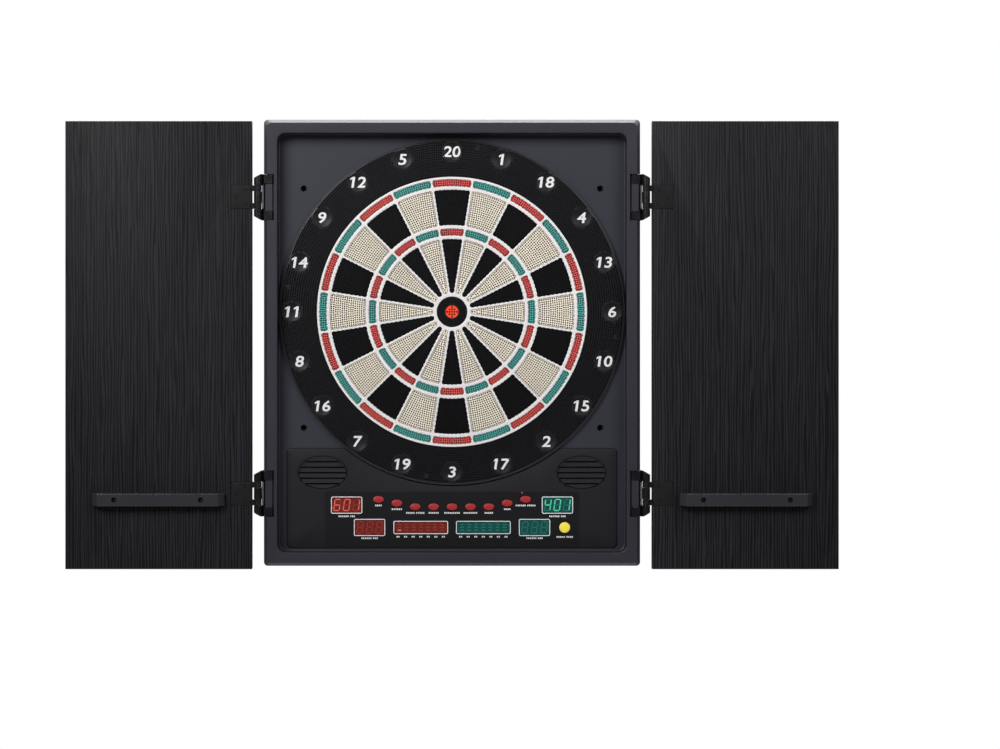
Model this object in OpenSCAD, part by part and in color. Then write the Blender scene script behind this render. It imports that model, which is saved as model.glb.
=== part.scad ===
// Electronic dartboard in a wall cabinet with two swing doors, doors open flat.
//
// Frame: the origin lies on the wall plane, on the axis of the bullseye. +X is to the
// player's right, +Z is up and the board faces -Y. A "depth" below is a distance from the
// wall towards the player, so a depth of 60 is y = -60.

/* [Cabinet body] */
// Width of the body
body_w = 478; // [472:1:484]
// Height of the body
body_h = 567; // [563:1:575]
// Height of the body's top edge above the bullseye
body_top = 244; // [242:1:248]
// Depth of the body from the wall to the front of its rim
rim_d = 60; // [58:1:64]
// Width of the rim round the recess
rim_w = 17; // [16:1:18]
// Depth of the recess floor from the wall
panel_d = 35; // [35:0.5:36]
// Thickness of the moulded walls
wall = 3; // [2.5:0.5:3.5]
// Spacing of the wall screws across the board
wall_hole_w = 379; // [374:1:382]
// Spacing of the wall screws up the board
wall_hole_h = 306; // [300:1:310]
// Height of the centre of the wall screw pattern above the bullseye
wall_hole_z = 4.5; // [0:0.5:8]

/* [Target] */
// Radius of the inner bullseye
bull_r = 8.2; // [7:0.1:9]
// Radius of the outer bullseye
outer_bull_r = 19.6; // [18:0.1:20]
// Inner radius of the triple ring
triple_r = 97.8; // [96:0.1:99]
// Inner radius of the double ring
double_r = 160.7; // [159:0.1:161]
// Radial width of the double and triple rings
band_w = 8.2; // [8:0.1:8.4]
// Width of the web's round bars
web_ring = 5.1; // [4.5:0.1:5.5]
// Width of the web's straight bars
web_bar = 3.5; // [3:0.1:4]
// Radius of the catch ring round the target
catch_r = 221; // [220:0.5:221.5]
// Radius of a number badge
badge_r = 12.3; // [11:0.1:13]
// How far a segment travels when a dart hits it
hit_travel = 1.2; // [0.8:0.1:1.2]

/* [Controls] */
// Spacing of the function keys
key_pitch = 23.5; // [22:0.1:24]
// Width of a function key
key_w = 14; // [13:0.1:14.5]
// Height of a function key
key_h = 8.9; // [8.5:0.1:9.2]
// How far a key travels when pressed
key_travel = 1.5; // [1:0.1:1.5]
// Radius of the round start button
start_r = 6.9; // [6.5:0.1:7.2]
// Width of a three-digit score window
score_w = 39.5; // [38:0.1:40]
// Height of a three-digit score window
score_h = 21.4; // [20:0.1:22]
// Width of a mark-counter window
marks_w = 69.5; // [66:0.1:71]
// Height of a mark-counter window
marks_h = 16.4; // [16:0.1:18]

/* [Doors] */
// Width of a door
door_w = 237; // [234:1:238]
// Height of a door
door_h = 569; // [560:1:572]
// Thickness of a door
door_t = 12; // [12:1:14]
// How much lower the middle of a door is than the middle of the body
door_drop = 3; // [0:0.5:4]
// Distance of the hinge pins from the side of the body
pin_out = 7.5; // [7.5:0.1:8]
// Height of the upper hinge above the bullseye
upper_hinge_z = 145.5; // [140:0.5:150]
// Height of the lower hinge below the bullseye
lower_hinge_z = 231; // [226:0.5:236]
// Width of a dart holder at the door
holder_w = 168; // [160:1:172]
// Height of a dart holder
holder_h = 15.6; // [15:0.1:17]
// How far a dart holder stands out from its door
holder_out = 18; // [17:0.5:18.5]
// Radius of a dart hole
dart_hole_r = 3.75; // [3.5:0.05:4]

/* [Hidden] */
$fn = 96;
numbers = [20, 1, 18, 4, 13, 6, 10, 15, 2, 17, 3, 19, 7, 16, 8, 11, 14, 9, 12, 5];
keys = ["key_game", "key_option", "key_player", "key_double", "key_solo", "key_handicap",
    "key_sound", "key_miss", "key_select"];

// gaps and fits
gap = 0.3;
fit_gap = 0.05;
eps = 0.01;

// cabinet
body_z = body_top - body_h / 2;
corner_r = 5;
recess_r = 10.5;
rim_t = 5;
panel_back_d = panel_d - wall;
cover_t = 4;
post_r = 4;
post_x = (body_w - rim_w) / 2;
post_z = (body_h - rim_w) / 2;
side_posts_z = [body_z + post_z, 60, -95, body_z - post_z];
end_posts_x = 110;
wall_screw_r = 2.6;
wall_head_r = 4.25;
wall_tube_r = 6.5;
wall_head_d = panel_d - 8;

// screws: one pan-head size for the case and one countersunk size for the doors
screw_r = 1.4;
screw_len = 7;
screw_head_r = 3;
screw_head_t = 2;
cross_w = 0.8;
cross_l = 4;
cross_t = 1.6;
wood_screw_len = 9;
wood_head_t = 1.8;
cover_screw_d = screw_head_t + 0.4;

// target, from the film at the back to the front of the web
board_d = 19;
film_d = 22.2;
mat_d = 22.8;
segment_back_d = 27;
mat_front_d = segment_back_d - hit_travel - gap;
flange_t = 1.5;
segment_front_d = 40.5;
web_back_d = segment_back_d + flange_t + gap;
web_front_d = 41.5;
web_flange_t = 2.5;
web_r = double_r + band_w + web_bar;
web_flange_r = 183;
lip = 1;
single_r = outer_bull_r + web_ring;
ring_front_d = 40.5;
ring_t = 3;
opening_r = 205;
badge_pitch_r = 204.5;
badge_t = 0.8;
ring_screw_r = 211.5;
ring_screws = 8;
stack_screw_r = 189;
mat_r = 184;
board_r = 194;

// controls
console_w = 423;
console_top = -174;
console_bottom = -302.5;
console_t = 1.5;
console_d = panel_d + console_t;
console_r = 6.4;
overlay_w = 325;
overlay_top = -230;
overlay_bottom = -299.7;
overlay_t = 0.4;
overlay_d = console_d + overlay_t;
key_row_z = -249.1;
key_step_z = 4.75;
key_front_d = overlay_d + 2.5;
key_flange_d = panel_back_d - gap - flange_t;
key_flange = 1.5;
start_x = 144;
lower_row_z = -275.6;
upper_score_x = 134.7;
upper_score_z = -247;
lower_score_x = 105.4;
marks_x = 40;
window_back_d = panel_d - 1;
pcb_back_d = 22.4;
pcb_d = 24;
pcb_w = 316;
pcb_top = -227;
pcb_bottom = -300;
pcb_screw_x = 152;
pcb_screw_z = [-232, -294];
pcb_boss_r = 3.5;
pad_d = 25.5;
pad_w = 8 * key_pitch + 22;
pad_top = -233;
pad_bottom = -262;
pad_dome_r = 3;
dome_d = key_flange_d - key_travel - gap;
lamp_x = 89.5;
lamp_z = -231;
lamp_r = 0.9;
speaker_x = 165.5;
speaker_z = -205;
speaker_r = 27;
grille_w = 60;
grille_h = 39;
louvres = 5;
louvre_pitch = 7;
louvre_gap = 2.6;
magnet_r = 14;
basket_r = 24;
jack_x = 170;
jack_d = 20;
jack_r = 4;
jack_bore_r = 2.85;
jack_pin_r = 1.05;
jack_block = [14, 12, 11];

// doors and hinges
pin_x = body_w / 2 + pin_out;
pin_d = rim_d + 0.5;
pin_r = 2;
pin_half = 25.5;
door_z = body_z - door_drop;
door_back_d = rim_d - door_t;
door_near = pin_x + pin_out;
door_mid = door_near + door_w / 2;
hinge_z = [upper_hinge_z, -lower_hinge_z];
leaf_w = 26.7;
leaf_h = 30;
leaf_t = 2;
leaf_d = rim_d + 0.4;
knuckle_r = 4.2;
knuckle_h = 7.6;
knuckle_z = 11.2;
bracket_h = 58;
bracket_t = 2.5;
ear_r = 5;
ear_inner_z = knuckle_z + knuckle_h / 2 + gap;
arm_len = 11;
arm_t = 2;
bracket_screw_z = 22;
bracket_screw_d = 39.5;
bracket_back_d = 33;
ear_back_d = 46;
ear_middle_z = knuckle_z - knuckle_h / 2 - gap;
ear_flat = 3.5;
ear_slope = 5;
leaf_screws = [[8, 9], [8, -9], [19.5, 0]];
door_corner_r = 0.6;
holder_x = 372.5;
holder_taper = 7.5;
holder_wall = 2.5;
holder_z = -238.2;
holder_screw_x = 54.8;
holder_screw_d = rim_d + 3;
holder_boss_r = 4.8;
dart_pitch = 36;
sleeve_t = 2.75;
dart_d = rim_d + 9.5;
screw_hole_d = rim_d - 9;

function key_x(i) = (i - 4) * key_pitch;
function key_z(i) = key_row_z + max(0, abs(i - 4) - 2) * key_step_z;
function polar(r, a) = [r * sin(a), r * cos(a)];

// ---- helpers -----------------------------------------------------------------------

// A flat outline, drawn as seen from the front, made solid between two depths.
module slab(from_d, to_d)
    translate([0, -from_d, 0]) rotate([90, 0, 0]) linear_extrude(to_d - from_d) children();

module rounded(w, h, r) {
    square([w - 2 * r, h], center = true);
    square([w, h - 2 * r], center = true);
    for (x = [-1, 1], z = [-1, 1])
        translate([x * (w / 2 - r), z * (h / 2 - r)]) circle(r);
}

module pill(w, h) {
    square([w - h, h], center = true);
    for (x = [-1, 1]) translate([x * (w - h) / 2, 0]) circle(h / 2);
}

module ring(inner, outer)
    difference() {
        circle(outer);
        circle(inner);
    }

// One twentieth of a ring about the upright, its sides kept a distance from the boundaries.
module sector(inner, outer, side) {
    apex = side / sin(9);
    reach = outer + 30;
    intersection() {
        ring(inner, outer);
        polygon([[0, apex], [-reach * sin(9), apex + reach * cos(9)],
            [reach * sin(9), apex + reach * cos(9)]]);
    }
}

module around(count, r, offset = 0)
    for (i = [0:count - 1]) translate(polar(r, offset + i * 360 / count)) children();

module both_sides() {
    children();
    mirror([1, 0, 0]) children();
}

module body_outline(inset, r) translate([0, body_z]) rounded(body_w - 2 * inset, body_h - 2 * inset, r);

module wall_hole_places()
    for (x = [-1, 1], z = [-1, 1])
        translate([x * wall_hole_w / 2, wall_hole_z + z * wall_hole_h / 2]) children();

module post_places() {
    for (x = [-post_x, post_x], z = side_posts_z) translate([x, z]) children();
    for (x = [-end_posts_x, end_posts_x], z = [-post_z, post_z]) translate([x, body_z + z]) children();
}

module pcb_screw_places()
    for (x = [-1, 1], z = pcb_screw_z) translate([x * pcb_screw_x, z]) children();

module key_places()
    for (i = [0:8]) translate([key_x(i), key_z(i)]) children();

module window_places(side) {
    translate([side * upper_score_x, upper_score_z]) rounded(score_w, score_h, 2);
    translate([side * lower_score_x, lower_row_z]) rounded(score_w, score_h, 2);
    translate([side * marks_x, lower_row_z]) rounded(marks_w, marks_h, 2);
}

// Level slots that fill an oval.
module louvre_slots()
    for (i = [0:louvres - 1]) {
        z = (i - (louvres - 1) / 2) * louvre_pitch;
        translate([0, z]) pill(grille_w * sqrt(1 - pow(2 * z / grille_h, 2)), louvre_gap);
    }

module cross_recess() {
    cube([cross_l, cross_w, cross_t], center = true);
    cube([cross_w, cross_l, cross_t], center = true);
}

// Pan-head screw whose head's underside lies on the plane z = 0, shaft towards +Z.
module pan_screw() {
    cylinder(h = screw_len, r = screw_r);
    difference() {
        translate([0, 0, -screw_head_t]) cylinder(h = screw_head_t, r = screw_head_r);
        translate([0, 0, -screw_head_t]) cross_recess();
    }
}

module pan_screw_at(place, d) translate([place.x, -d, place.y]) rotate([90, 0, 0]) pan_screw();

// Countersunk screw driven from the front, its head flush at depth d.
module wood_screw_at(place, d) {
    translate([place.x, -d, place.y]) rotate([-90, 0, 0]) difference() {
        union() {
            cylinder(h = wood_screw_len, r = screw_r);
            cylinder(h = wood_head_t, r1 = screw_head_r, r2 = screw_r);
        }
        cross_recess();
    }
}

module countersink(place, d)
    translate([place.x, -d, place.y]) rotate([-90, 0, 0]) {
        translate([0, 0, -eps])
            cylinder(h = wood_head_t, r1 = screw_head_r + fit_gap, r2 = screw_r + fit_gap);
        cylinder(h = wood_screw_len + 1, r = screw_r + fit_gap);
    }

// ---- cabinet -----------------------------------------------------------------------

module housing_shell()
    difference() {
        slab(0, rim_d) body_outline(0, corner_r);
        slab(panel_d, rim_d + 1) body_outline(rim_w, recess_r);
        slab(-1, panel_back_d) body_outline(wall, corner_r - 2);
        slab(panel_back_d - 1, rim_d - rim_t) difference() {
            body_outline(wall, corner_r - 2);
            body_outline(rim_w - wall, recess_r + 2);
        }
    }

module console_plate()
    slab(panel_back_d, console_d) difference() {
        translate([0, (console_top + console_bottom) / 2])
            rounded(console_w, console_top - console_bottom, console_r);
        circle(catch_r + gap);
    }

module front_housing()
    color("#3a3a42") difference() {
        union() {
            housing_shell();
            console_plate();
            slab(cover_t, panel_d) wall_hole_places() circle(wall_tube_r);
            slab(cover_t, rim_d - rim_t) post_places() circle(post_r);
            slab(pcb_d, panel_d) pcb_screw_places() circle(pcb_boss_r);
            both_sides() for (z = hinge_z, s = [-1, 1])
                translate([body_w / 2 - rim_w + wall - 1, -bracket_screw_d, z + s * bracket_screw_z])
                    rotate([0, 90, 0]) cylinder(h = rim_w - wall - 1, r = post_r);
        }
        slab(0, panel_d + 1) circle(opening_r);
        slab(-1, panel_d + 1) wall_hole_places() circle(wall_screw_r);
        slab(wall_head_d, console_d + 1) wall_hole_places() circle(wall_head_r);
        slab(cover_t - 1, cover_t + screw_len) post_places() circle(screw_r + fit_gap);
        slab(pcb_back_d, pcb_d + screw_len) pcb_screw_places() circle(screw_r + fit_gap);
        slab(panel_back_d - 1, panel_d + 1) around(ring_screws, ring_screw_r, 9) circle(screw_r + fit_gap);
        slab(panel_back_d - 1, console_d + 1) {
            key_places() pill(key_w + 2 * gap, key_h + 2 * gap);
            translate([start_x, lower_row_z]) circle(start_r + gap);
            translate([lamp_x, lamp_z]) circle(lamp_r + fit_gap);
            window_places(-1);
            window_places(1);
            for (s = [-1, 1]) translate([s * speaker_x, speaker_z]) louvre_slots();
        }
        both_sides() for (z = hinge_z) {
            translate([body_w / 2 - arm_len - 1.5, -rim_d - 1, z - bracket_h / 2 - 0.5])
                cube([arm_len + 3, arm_t + 1, bracket_h + 1]);
            for (s = [-1, 1])
                translate([body_w / 2 - screw_len, -bracket_screw_d, z + s * bracket_screw_z])
                    rotate([0, 90, 0]) cylinder(h = screw_len + 1, r = screw_r + fit_gap);
        }
        translate([jack_x, -jack_d, body_z - body_h / 2 - 1]) cylinder(h = wall + 2, r = jack_r + 0.2);
    }

module rear_cover()
    color("#26262a") difference() {
        slab(0, cover_t) body_outline(wall + gap, corner_r - 2);
        slab(-1, cover_t + 1) {
            wall_hole_places() circle(wall_screw_r);
            post_places() circle(screw_r + gap);
        }
        slab(-1, cover_screw_d) post_places() circle(screw_head_r + gap);
    }

module case_screws()
    color("#9a9a9e") {
        for (x = [-post_x, post_x], z = side_posts_z) pan_screw_at([x, z], cover_screw_d);
        for (x = [-end_posts_x, end_posts_x], z = [-post_z, post_z])
            pan_screw_at([x, body_z + z], cover_screw_d);
        for (i = [0:ring_screws - 1]) {
            pan_screw_at(polar(ring_screw_r, 9 + i * 360 / ring_screws), panel_back_d);
            pan_screw_at(polar(stack_screw_r, 9 + i * 360 / ring_screws), board_d);
        }
        for (x = [-1, 1], z = pcb_screw_z) pan_screw_at([x * pcb_screw_x, z], pcb_back_d);
        both_sides() for (z = hinge_z, s = [-1, 1])
            translate([body_w / 2 + bracket_t, -bracket_screw_d, z + s * bracket_screw_z])
                rotate([0, -90, 0]) pan_screw();
    }

module hinge_brackets()
    color("#161618") both_sides() for (z = hinge_z) translate([0, 0, z]) hinge_bracket();

// Right-hand bracket about its own mid height: a side plate, three knuckles and two arms
// let into the rim.
module hinge_bracket() {
    side_x = body_w / 2;
    out_x = pin_x + ear_r;
    half_h = bracket_h / 2;
    difference() {
        union() {
            translate([side_x, -rim_d, -half_h]) cube([bracket_t, rim_d - bracket_back_d, bracket_h]);
            intersection() {
                for (ear = [[-half_h, -ear_inner_z], [-ear_middle_z, ear_middle_z], [ear_inner_z, half_h]]) {
                    h = ear[1] - ear[0];
                    translate([side_x, -pin_d, ear[0]]) cube([out_x - side_x, pin_d - ear_back_d, h]);
                    translate([pin_x, -pin_d, ear[0]]) cylinder(h = h, r = ear_r);
                }
                slab(ear_back_d - 1, pin_d + ear_r + 1)
                    polygon([[side_x, -half_h], [side_x + ear_flat, -half_h],
                        [out_x, ear_slope - half_h], [out_x, half_h - ear_slope],
                        [side_x + ear_flat, half_h], [side_x, half_h]]);
            }
            for (z = [-half_h, ear_inner_z + 2])
                translate([side_x - arm_len, -rim_d, z])
                    cube([arm_len + 1, arm_t, half_h - ear_inner_z - 2]);
        }
        translate([pin_x, -pin_d, -bracket_h]) cylinder(h = 2 * bracket_h, r = pin_r + fit_gap);
        for (s = [-1, 1])
            translate([side_x - 1, -bracket_screw_d, s * bracket_screw_z])
                rotate([0, 90, 0]) cylinder(h = bracket_t + 2, r = screw_r + fit_gap);
    }
}

module hinge_pins()
    color("#8c8c90") for (x = [-1, 1], z = hinge_z)
        translate([x * pin_x, -pin_d, z - pin_half]) cylinder(h = 2 * pin_half, r = pin_r);

// ---- target ------------------------------------------------------------------------

module catch_ring()
    color("#1c1c1e") difference() {
        union() {
            slab(ring_front_d - ring_t, ring_front_d) ring(web_r + gap, catch_r);
            slab(panel_d, ring_front_d) ring(catch_r - 2.5, catch_r);
            slab(web_back_d + web_flange_t, ring_front_d) ring(web_r + gap, web_r + wall);
            slab(panel_d, ring_front_d) around(ring_screws, ring_screw_r, 9) circle(post_r);
            slab(film_d, ring_front_d) around(ring_screws, stack_screw_r, 9) circle(post_r);
        }
        slab(panel_d - 1, panel_back_d + screw_len + 0.3)
            around(ring_screws, ring_screw_r, 9) circle(screw_r + fit_gap);
        slab(film_d - 1, board_d + screw_len + 0.3)
            around(ring_screws, stack_screw_r, 9) circle(screw_r + fit_gap);
    }

module number_badges()
    color("#242426") slab(ring_front_d, ring_front_d + badge_t) around(20, badge_pitch_r) circle(badge_r);

module spider()
    color("#e4e2e2") {
        slab(web_back_d, web_front_d) {
            ring(outer_bull_r, single_r);
            ring(triple_r - web_ring, triple_r);
            ring(triple_r + band_w, triple_r + band_w + web_ring);
            ring(double_r - web_ring, double_r);
            ring(double_r + band_w, web_r);
            for (i = [0:19]) rotate(9 + i * 18)
                translate([-web_bar / 2, single_r - 1]) square([web_bar, web_r - single_r]);
        }
        slab(web_back_d, web_back_d + web_flange_t) ring(web_r - 1, web_flange_r);
    }

module rubber_mat() color("#4a4a4a") slab(mat_d, mat_front_d) circle(mat_r);

module contact_film() color("#b9a66a") slab(film_d, mat_d) circle(web_flange_r);

module backing_board()
    color("#7a5a3c") slab(board_d, film_d) difference() {
        circle(board_r);
        around(ring_screws, stack_screw_r, 9) circle(screw_r + fit_gap);
    }

// A piece that drops into a window of the web from behind and is held by its lip.
module target_piece(inner, outer) {
    slab(segment_back_d, segment_front_d) sector(inner + gap, outer - gap, web_bar / 2 + gap);
    slab(segment_back_d, segment_back_d + flange_t) sector(inner - lip, outer + lip, web_bar / 2 - lip);
}

module segments(i)
    color(i % 2 == 0 ? "#222225" : "#d9c8af") rotate([0, i * 18, 0]) {
        target_piece(double_r, double_r + band_w);
        target_piece(triple_r + band_w + web_ring, double_r - web_ring);
        target_piece(triple_r, triple_r + band_w);
        target_piece(single_r, triple_r - web_ring);
    }

module outer_bull()
    color("#1d1d1f") difference() {
        union() {
            slab(segment_back_d, segment_front_d) circle(outer_bull_r - gap);
            slab(segment_back_d, segment_back_d + flange_t) circle(outer_bull_r + lip);
        }
        slab(segment_back_d - 1, segment_front_d + 1) circle(bull_r + gap);
        slab(segment_back_d - 1, segment_back_d + 2 * flange_t) circle(bull_r + lip + 2 * gap);
    }

module inner_bull()
    color("#c84d35") {
        slab(segment_back_d, segment_front_d) circle(bull_r);
        slab(segment_back_d, segment_back_d + flange_t) circle(bull_r + lip);
    }

// ---- controls ----------------------------------------------------------------------

module control_overlay()
    color("#2b2b30") slab(console_d, overlay_d) difference() {
        translate([0, (overlay_top + overlay_bottom) / 2])
            rounded(overlay_w, overlay_top - overlay_bottom, 3);
        key_places() pill(key_w + 2 * gap, key_h + 2 * gap);
        translate([start_x, lower_row_z]) circle(start_r + gap);
        translate([lamp_x, lamp_z]) circle(lamp_r + fit_gap);
        window_places(-1);
        window_places(1);
    }

module windows(side) slab(window_back_d, overlay_d) window_places(side);

module red_windows() color("#8e2018") windows(-1);

module green_windows() color("#0f6a52") windows(1);

// Light-emitting blocks that stand on the board just behind the windows.
module displays(side)
    slab(pcb_d, window_back_d - gap) {
        translate([side * upper_score_x, upper_score_z]) square([score_w - 2, score_h - 2], center = true);
        translate([side * lower_score_x, lower_row_z]) square([score_w - 2, score_h - 2], center = true);
        translate([side * marks_x, lower_row_z]) square([marks_w - 2, marks_h - 2], center = true);
    }

module red_displays()
    color("#c43a2c") {
        displays(-1);
        slab(pcb_d, overlay_d + 0.4) translate([lamp_x, lamp_z]) circle(lamp_r);
    }

module green_displays() color("#2a9a78") displays(1);

module main_board()
    color("#2f6b3d") slab(pcb_back_d, pcb_d) difference() {
        translate([0, (pcb_top + pcb_bottom) / 2]) rounded(pcb_w, pcb_top - pcb_bottom, 2);
        pcb_screw_places() circle(screw_r + fit_gap);
    }

module key_pad()
    color("#8f8f8f") {
        slab(pcb_d, pad_d) {
            translate([0, (pad_top + pad_bottom) / 2]) rounded(pad_w, pad_top - pad_bottom, 3);
            translate([start_x, lower_row_z]) rounded(20, 20, 3);
        }
        slab(pcb_d, dome_d) {
            key_places() circle(pad_dome_r);
            translate([start_x, lower_row_z]) circle(pad_dome_r);
        }
    }

module key(i)
    color("#c83236") translate([key_x(i), 0, key_z(i)]) {
        slab(key_flange_d, key_front_d) pill(key_w, key_h);
        slab(key_flange_d, key_flange_d + flange_t) pill(key_w + 2 * key_flange, key_h + 2 * key_flange);
    }

module start_button()
    color("#f2d832") translate([start_x, 0, lower_row_z]) {
        slab(key_flange_d, key_front_d) circle(start_r);
        slab(key_flange_d, key_flange_d + flange_t) circle(start_r + key_flange);
    }

module speakers()
    color("#303030") for (s = [-1, 1]) translate([s * speaker_x, 0, speaker_z]) {
        slab(panel_back_d - 3, panel_back_d) ring(basket_r - 1, speaker_r);
        slab(panel_back_d - 10, panel_back_d - 3) circle(basket_r);
        slab(panel_back_d - 18, panel_back_d - 10) circle(magnet_r);
    }

// Low-voltage inlet in the underside: a block behind the wall with a nose through it.
module power_jack() {
    bottom = body_z - body_h / 2;
    color("#101012") translate([jack_x, -jack_d, bottom]) {
        difference() {
            union() {
                cylinder(h = wall + 1, r = jack_r);
                translate([-jack_block.x / 2, -jack_block.y / 2, wall]) cube(jack_block);
            }
            translate([0, 0, -1]) cylinder(h = jack_block.z, r = jack_bore_r);
        }
        translate([0, 0, 1]) cylinder(h = jack_block.z - 1, r = jack_pin_r);
    }
}

// ---- doors -------------------------------------------------------------------------

// Right-hand door panel, open flat, its inner face to the front.
module door_panel()
    difference() {
        slab(door_back_d, rim_d) translate([door_mid, door_z]) rounded(door_w, door_h, door_corner_r);
        for (z = hinge_z) {
            translate([door_near - 1, -rim_d - 1, z - leaf_h / 2 - gap])
                cube([leaf_w + 1 + gap, leaf_t - leaf_d + rim_d + 1, leaf_h + 2 * gap]);
            for (p = leaf_screws)
                slab(screw_hole_d, rim_d + 1)
                    translate([door_near + p.x, z + p.y]) circle(screw_r + fit_gap);
        }
        for (s = [-1, 1])
            slab(screw_hole_d, rim_d + 1)
                translate([holder_x + s * holder_screw_x, holder_z]) circle(screw_r + fit_gap);
    }

// Right-hand leaf plates with the two door knuckles on each.
module hinge_leaves()
    for (z = hinge_z) difference() {
        union() {
            slab(leaf_d - leaf_t, leaf_d)
                translate([door_near + leaf_w / 2, z]) rounded(leaf_w, leaf_h, 2);
            for (s = [-1, 1]) translate([0, 0, z + s * knuckle_z - knuckle_h / 2]) {
                translate([pin_x, -leaf_d, 0]) cube([door_near - pin_x + 2, leaf_t, knuckle_h]);
                translate([pin_x, -pin_d, 0]) cylinder(h = knuckle_h, r = knuckle_r);
            }
        }
        translate([pin_x, -pin_d, z - leaf_h]) cylinder(h = 2 * leaf_h, r = pin_r + fit_gap);
        for (p = leaf_screws) countersink([door_near + p.x, z + p.y], leaf_d);
    }

// A dart holder's outline seen from above: a bar whose ends slope back to the door.
module holder_plan(inset) {
    w = holder_w / 2 - inset;
    polygon([[-w, 0], [w, 0], [w, -holder_out / 2], [w - holder_taper, inset - holder_out],
        [holder_taper - w, inset - holder_out], [-w, -holder_out / 2]]);
}

// Right-hand dart holder: a moulded bar, open at the back, with three dart sleeves.
module dart_holder()
    difference() {
        union() {
            translate([holder_x, -rim_d, holder_z - holder_h / 2]) difference() {
                linear_extrude(holder_h) holder_plan(0);
                translate([0, 1, holder_wall]) linear_extrude(holder_h - 2 * holder_wall) {
                    holder_plan(holder_wall);
                    translate([0, -1]) holder_plan(holder_wall);
                }
            }
            for (i = [-1:1]) translate([holder_x + i * dart_pitch, -dart_d, holder_z - holder_h / 2])
                cylinder(h = holder_h, r = dart_hole_r + sleeve_t);
            slab(rim_d, rim_d + holder_out) for (s = [-1, 1])
                translate([holder_x + s * holder_screw_x, holder_z]) circle(holder_boss_r);
        }
        for (i = [-1:1]) translate([holder_x + i * dart_pitch, -dart_d, holder_z - holder_h])
            cylinder(h = 2 * holder_h, r = dart_hole_r);
        for (s = [-1, 1]) {
            place = [holder_x + s * holder_screw_x, holder_z];
            countersink(place, holder_screw_d);
            slab(holder_screw_d, rim_d + holder_out + 1) translate(place) circle(screw_head_r + gap);
        }
    }

module door_screws() {
    for (z = hinge_z, p = leaf_screws) wood_screw_at([door_near + p.x, z + p.y], leaf_d);
    for (s = [-1, 1]) wood_screw_at([holder_x + s * holder_screw_x, holder_z], holder_screw_d);
}

module right_door() color("#2b2b2d") door_panel();

module left_door() color("#2b2b2d") mirror([1, 0, 0]) door_panel();

module right_hinge_leaves() color("#1a1a1c") hinge_leaves();

module left_hinge_leaves() color("#1a1a1c") mirror([1, 0, 0]) hinge_leaves();

module right_dart_holder() color("#202022") dart_holder();

module left_dart_holder() color("#202022") mirror([1, 0, 0]) dart_holder();

module right_door_screws() color("#303032") door_screws();

module left_door_screws() color("#303032") mirror([1, 0, 0]) door_screws();

// ---- nodes -------------------------------------------------------------------------

front_housing();
rear_cover();
case_screws();
catch_ring();
number_badges();
spider();
rubber_mat();
contact_film();
backing_board();
control_overlay();
red_windows();
green_windows();
red_displays();
green_displays();
main_board();
key_pad();
speakers();
power_jack();
hinge_brackets();
hinge_pins();
left_door();
left_dart_holder();
left_hinge_leaves();
left_door_screws();
right_door();
right_dart_holder();
right_hinge_leaves();
right_door_screws();
for (i = [0:len(keys) - 1]) key(i);
start_button();
inner_bull();
outer_bull();
for (i = [0:19]) segments(i);
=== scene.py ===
"""Looks of an electronic dartboard in a wall cabinet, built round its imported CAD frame.

Lengths are in millimetres and become metres when a mesh is made. A depth is a distance from
the wall towards the player, so a depth of 60 is y = -0.060. Flat outlines are drawn as seen
from the front: x to the right, z up.
"""

import math

import bmesh
import bpy
from mathutils import Matrix, Vector
from mathutils.geometry import delaunay_2d_cdt


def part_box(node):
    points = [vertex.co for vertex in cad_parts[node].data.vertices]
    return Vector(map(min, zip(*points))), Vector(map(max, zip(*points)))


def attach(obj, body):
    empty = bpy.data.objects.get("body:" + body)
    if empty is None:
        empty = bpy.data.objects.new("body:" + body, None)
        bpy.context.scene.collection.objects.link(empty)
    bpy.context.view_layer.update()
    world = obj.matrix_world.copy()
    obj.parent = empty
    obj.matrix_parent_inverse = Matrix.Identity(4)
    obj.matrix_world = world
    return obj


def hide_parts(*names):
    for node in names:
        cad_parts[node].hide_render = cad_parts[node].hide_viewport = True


MM = 0.001
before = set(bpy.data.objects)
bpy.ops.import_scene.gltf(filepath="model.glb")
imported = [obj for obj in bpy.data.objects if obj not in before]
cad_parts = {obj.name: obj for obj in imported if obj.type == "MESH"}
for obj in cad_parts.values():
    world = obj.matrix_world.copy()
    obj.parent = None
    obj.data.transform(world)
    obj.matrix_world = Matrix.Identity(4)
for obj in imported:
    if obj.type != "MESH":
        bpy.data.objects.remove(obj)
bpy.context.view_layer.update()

# ---- sizes that come from the frame ------------------------------------------------------


def node_box(node):
    """Lowest and highest corner of a CAD node, in millimetres."""
    low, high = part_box(node)
    return low / MM, high / MM


def node_depths(node):
    """How far the back and the front of a CAD node stand from the wall."""
    low, high = node_box(node)
    return -high.y, -low.y


HOUSING_LOW, HOUSING_HIGH = node_box("front_housing")
BODY_W = HOUSING_HIGH.x - HOUSING_LOW.x
BODY_H = HOUSING_HIGH.z - HOUSING_LOW.z
BODY_Z = (HOUSING_HIGH.z + HOUSING_LOW.z) / 2
RIM_D = -HOUSING_LOW.y
RING_LOW, RING_HIGH = node_box("catch_ring")
CATCH_R = RING_HIGH.x
PANEL_D = 35
RING_D = -RING_LOW.y
SEGMENT_BACK_D, SEGMENT_FRONT_D = node_depths("segments_20")
WEB_BACK_D, WEB_FRONT_D = node_depths("spider")
BADGE_D = node_depths("number_badges")[1]
OVERLAY_LOW, OVERLAY_HIGH = node_box("control_overlay")
CONSOLE_D, OVERLAY_D = node_depths("control_overlay")
KEY_BACK_D, KEY_FRONT_D = node_depths("key_game")
DOOR_LOW, DOOR_HIGH = node_box("right_door")
HOLDER_LOW, HOLDER_HIGH = node_box("right_dart_holder")
HOLDER_X = (HOLDER_LOW.x + HOLDER_HIGH.x) / 2
HOLDER_Z = (HOLDER_LOW.z + HOLDER_HIGH.z) / 2
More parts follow.
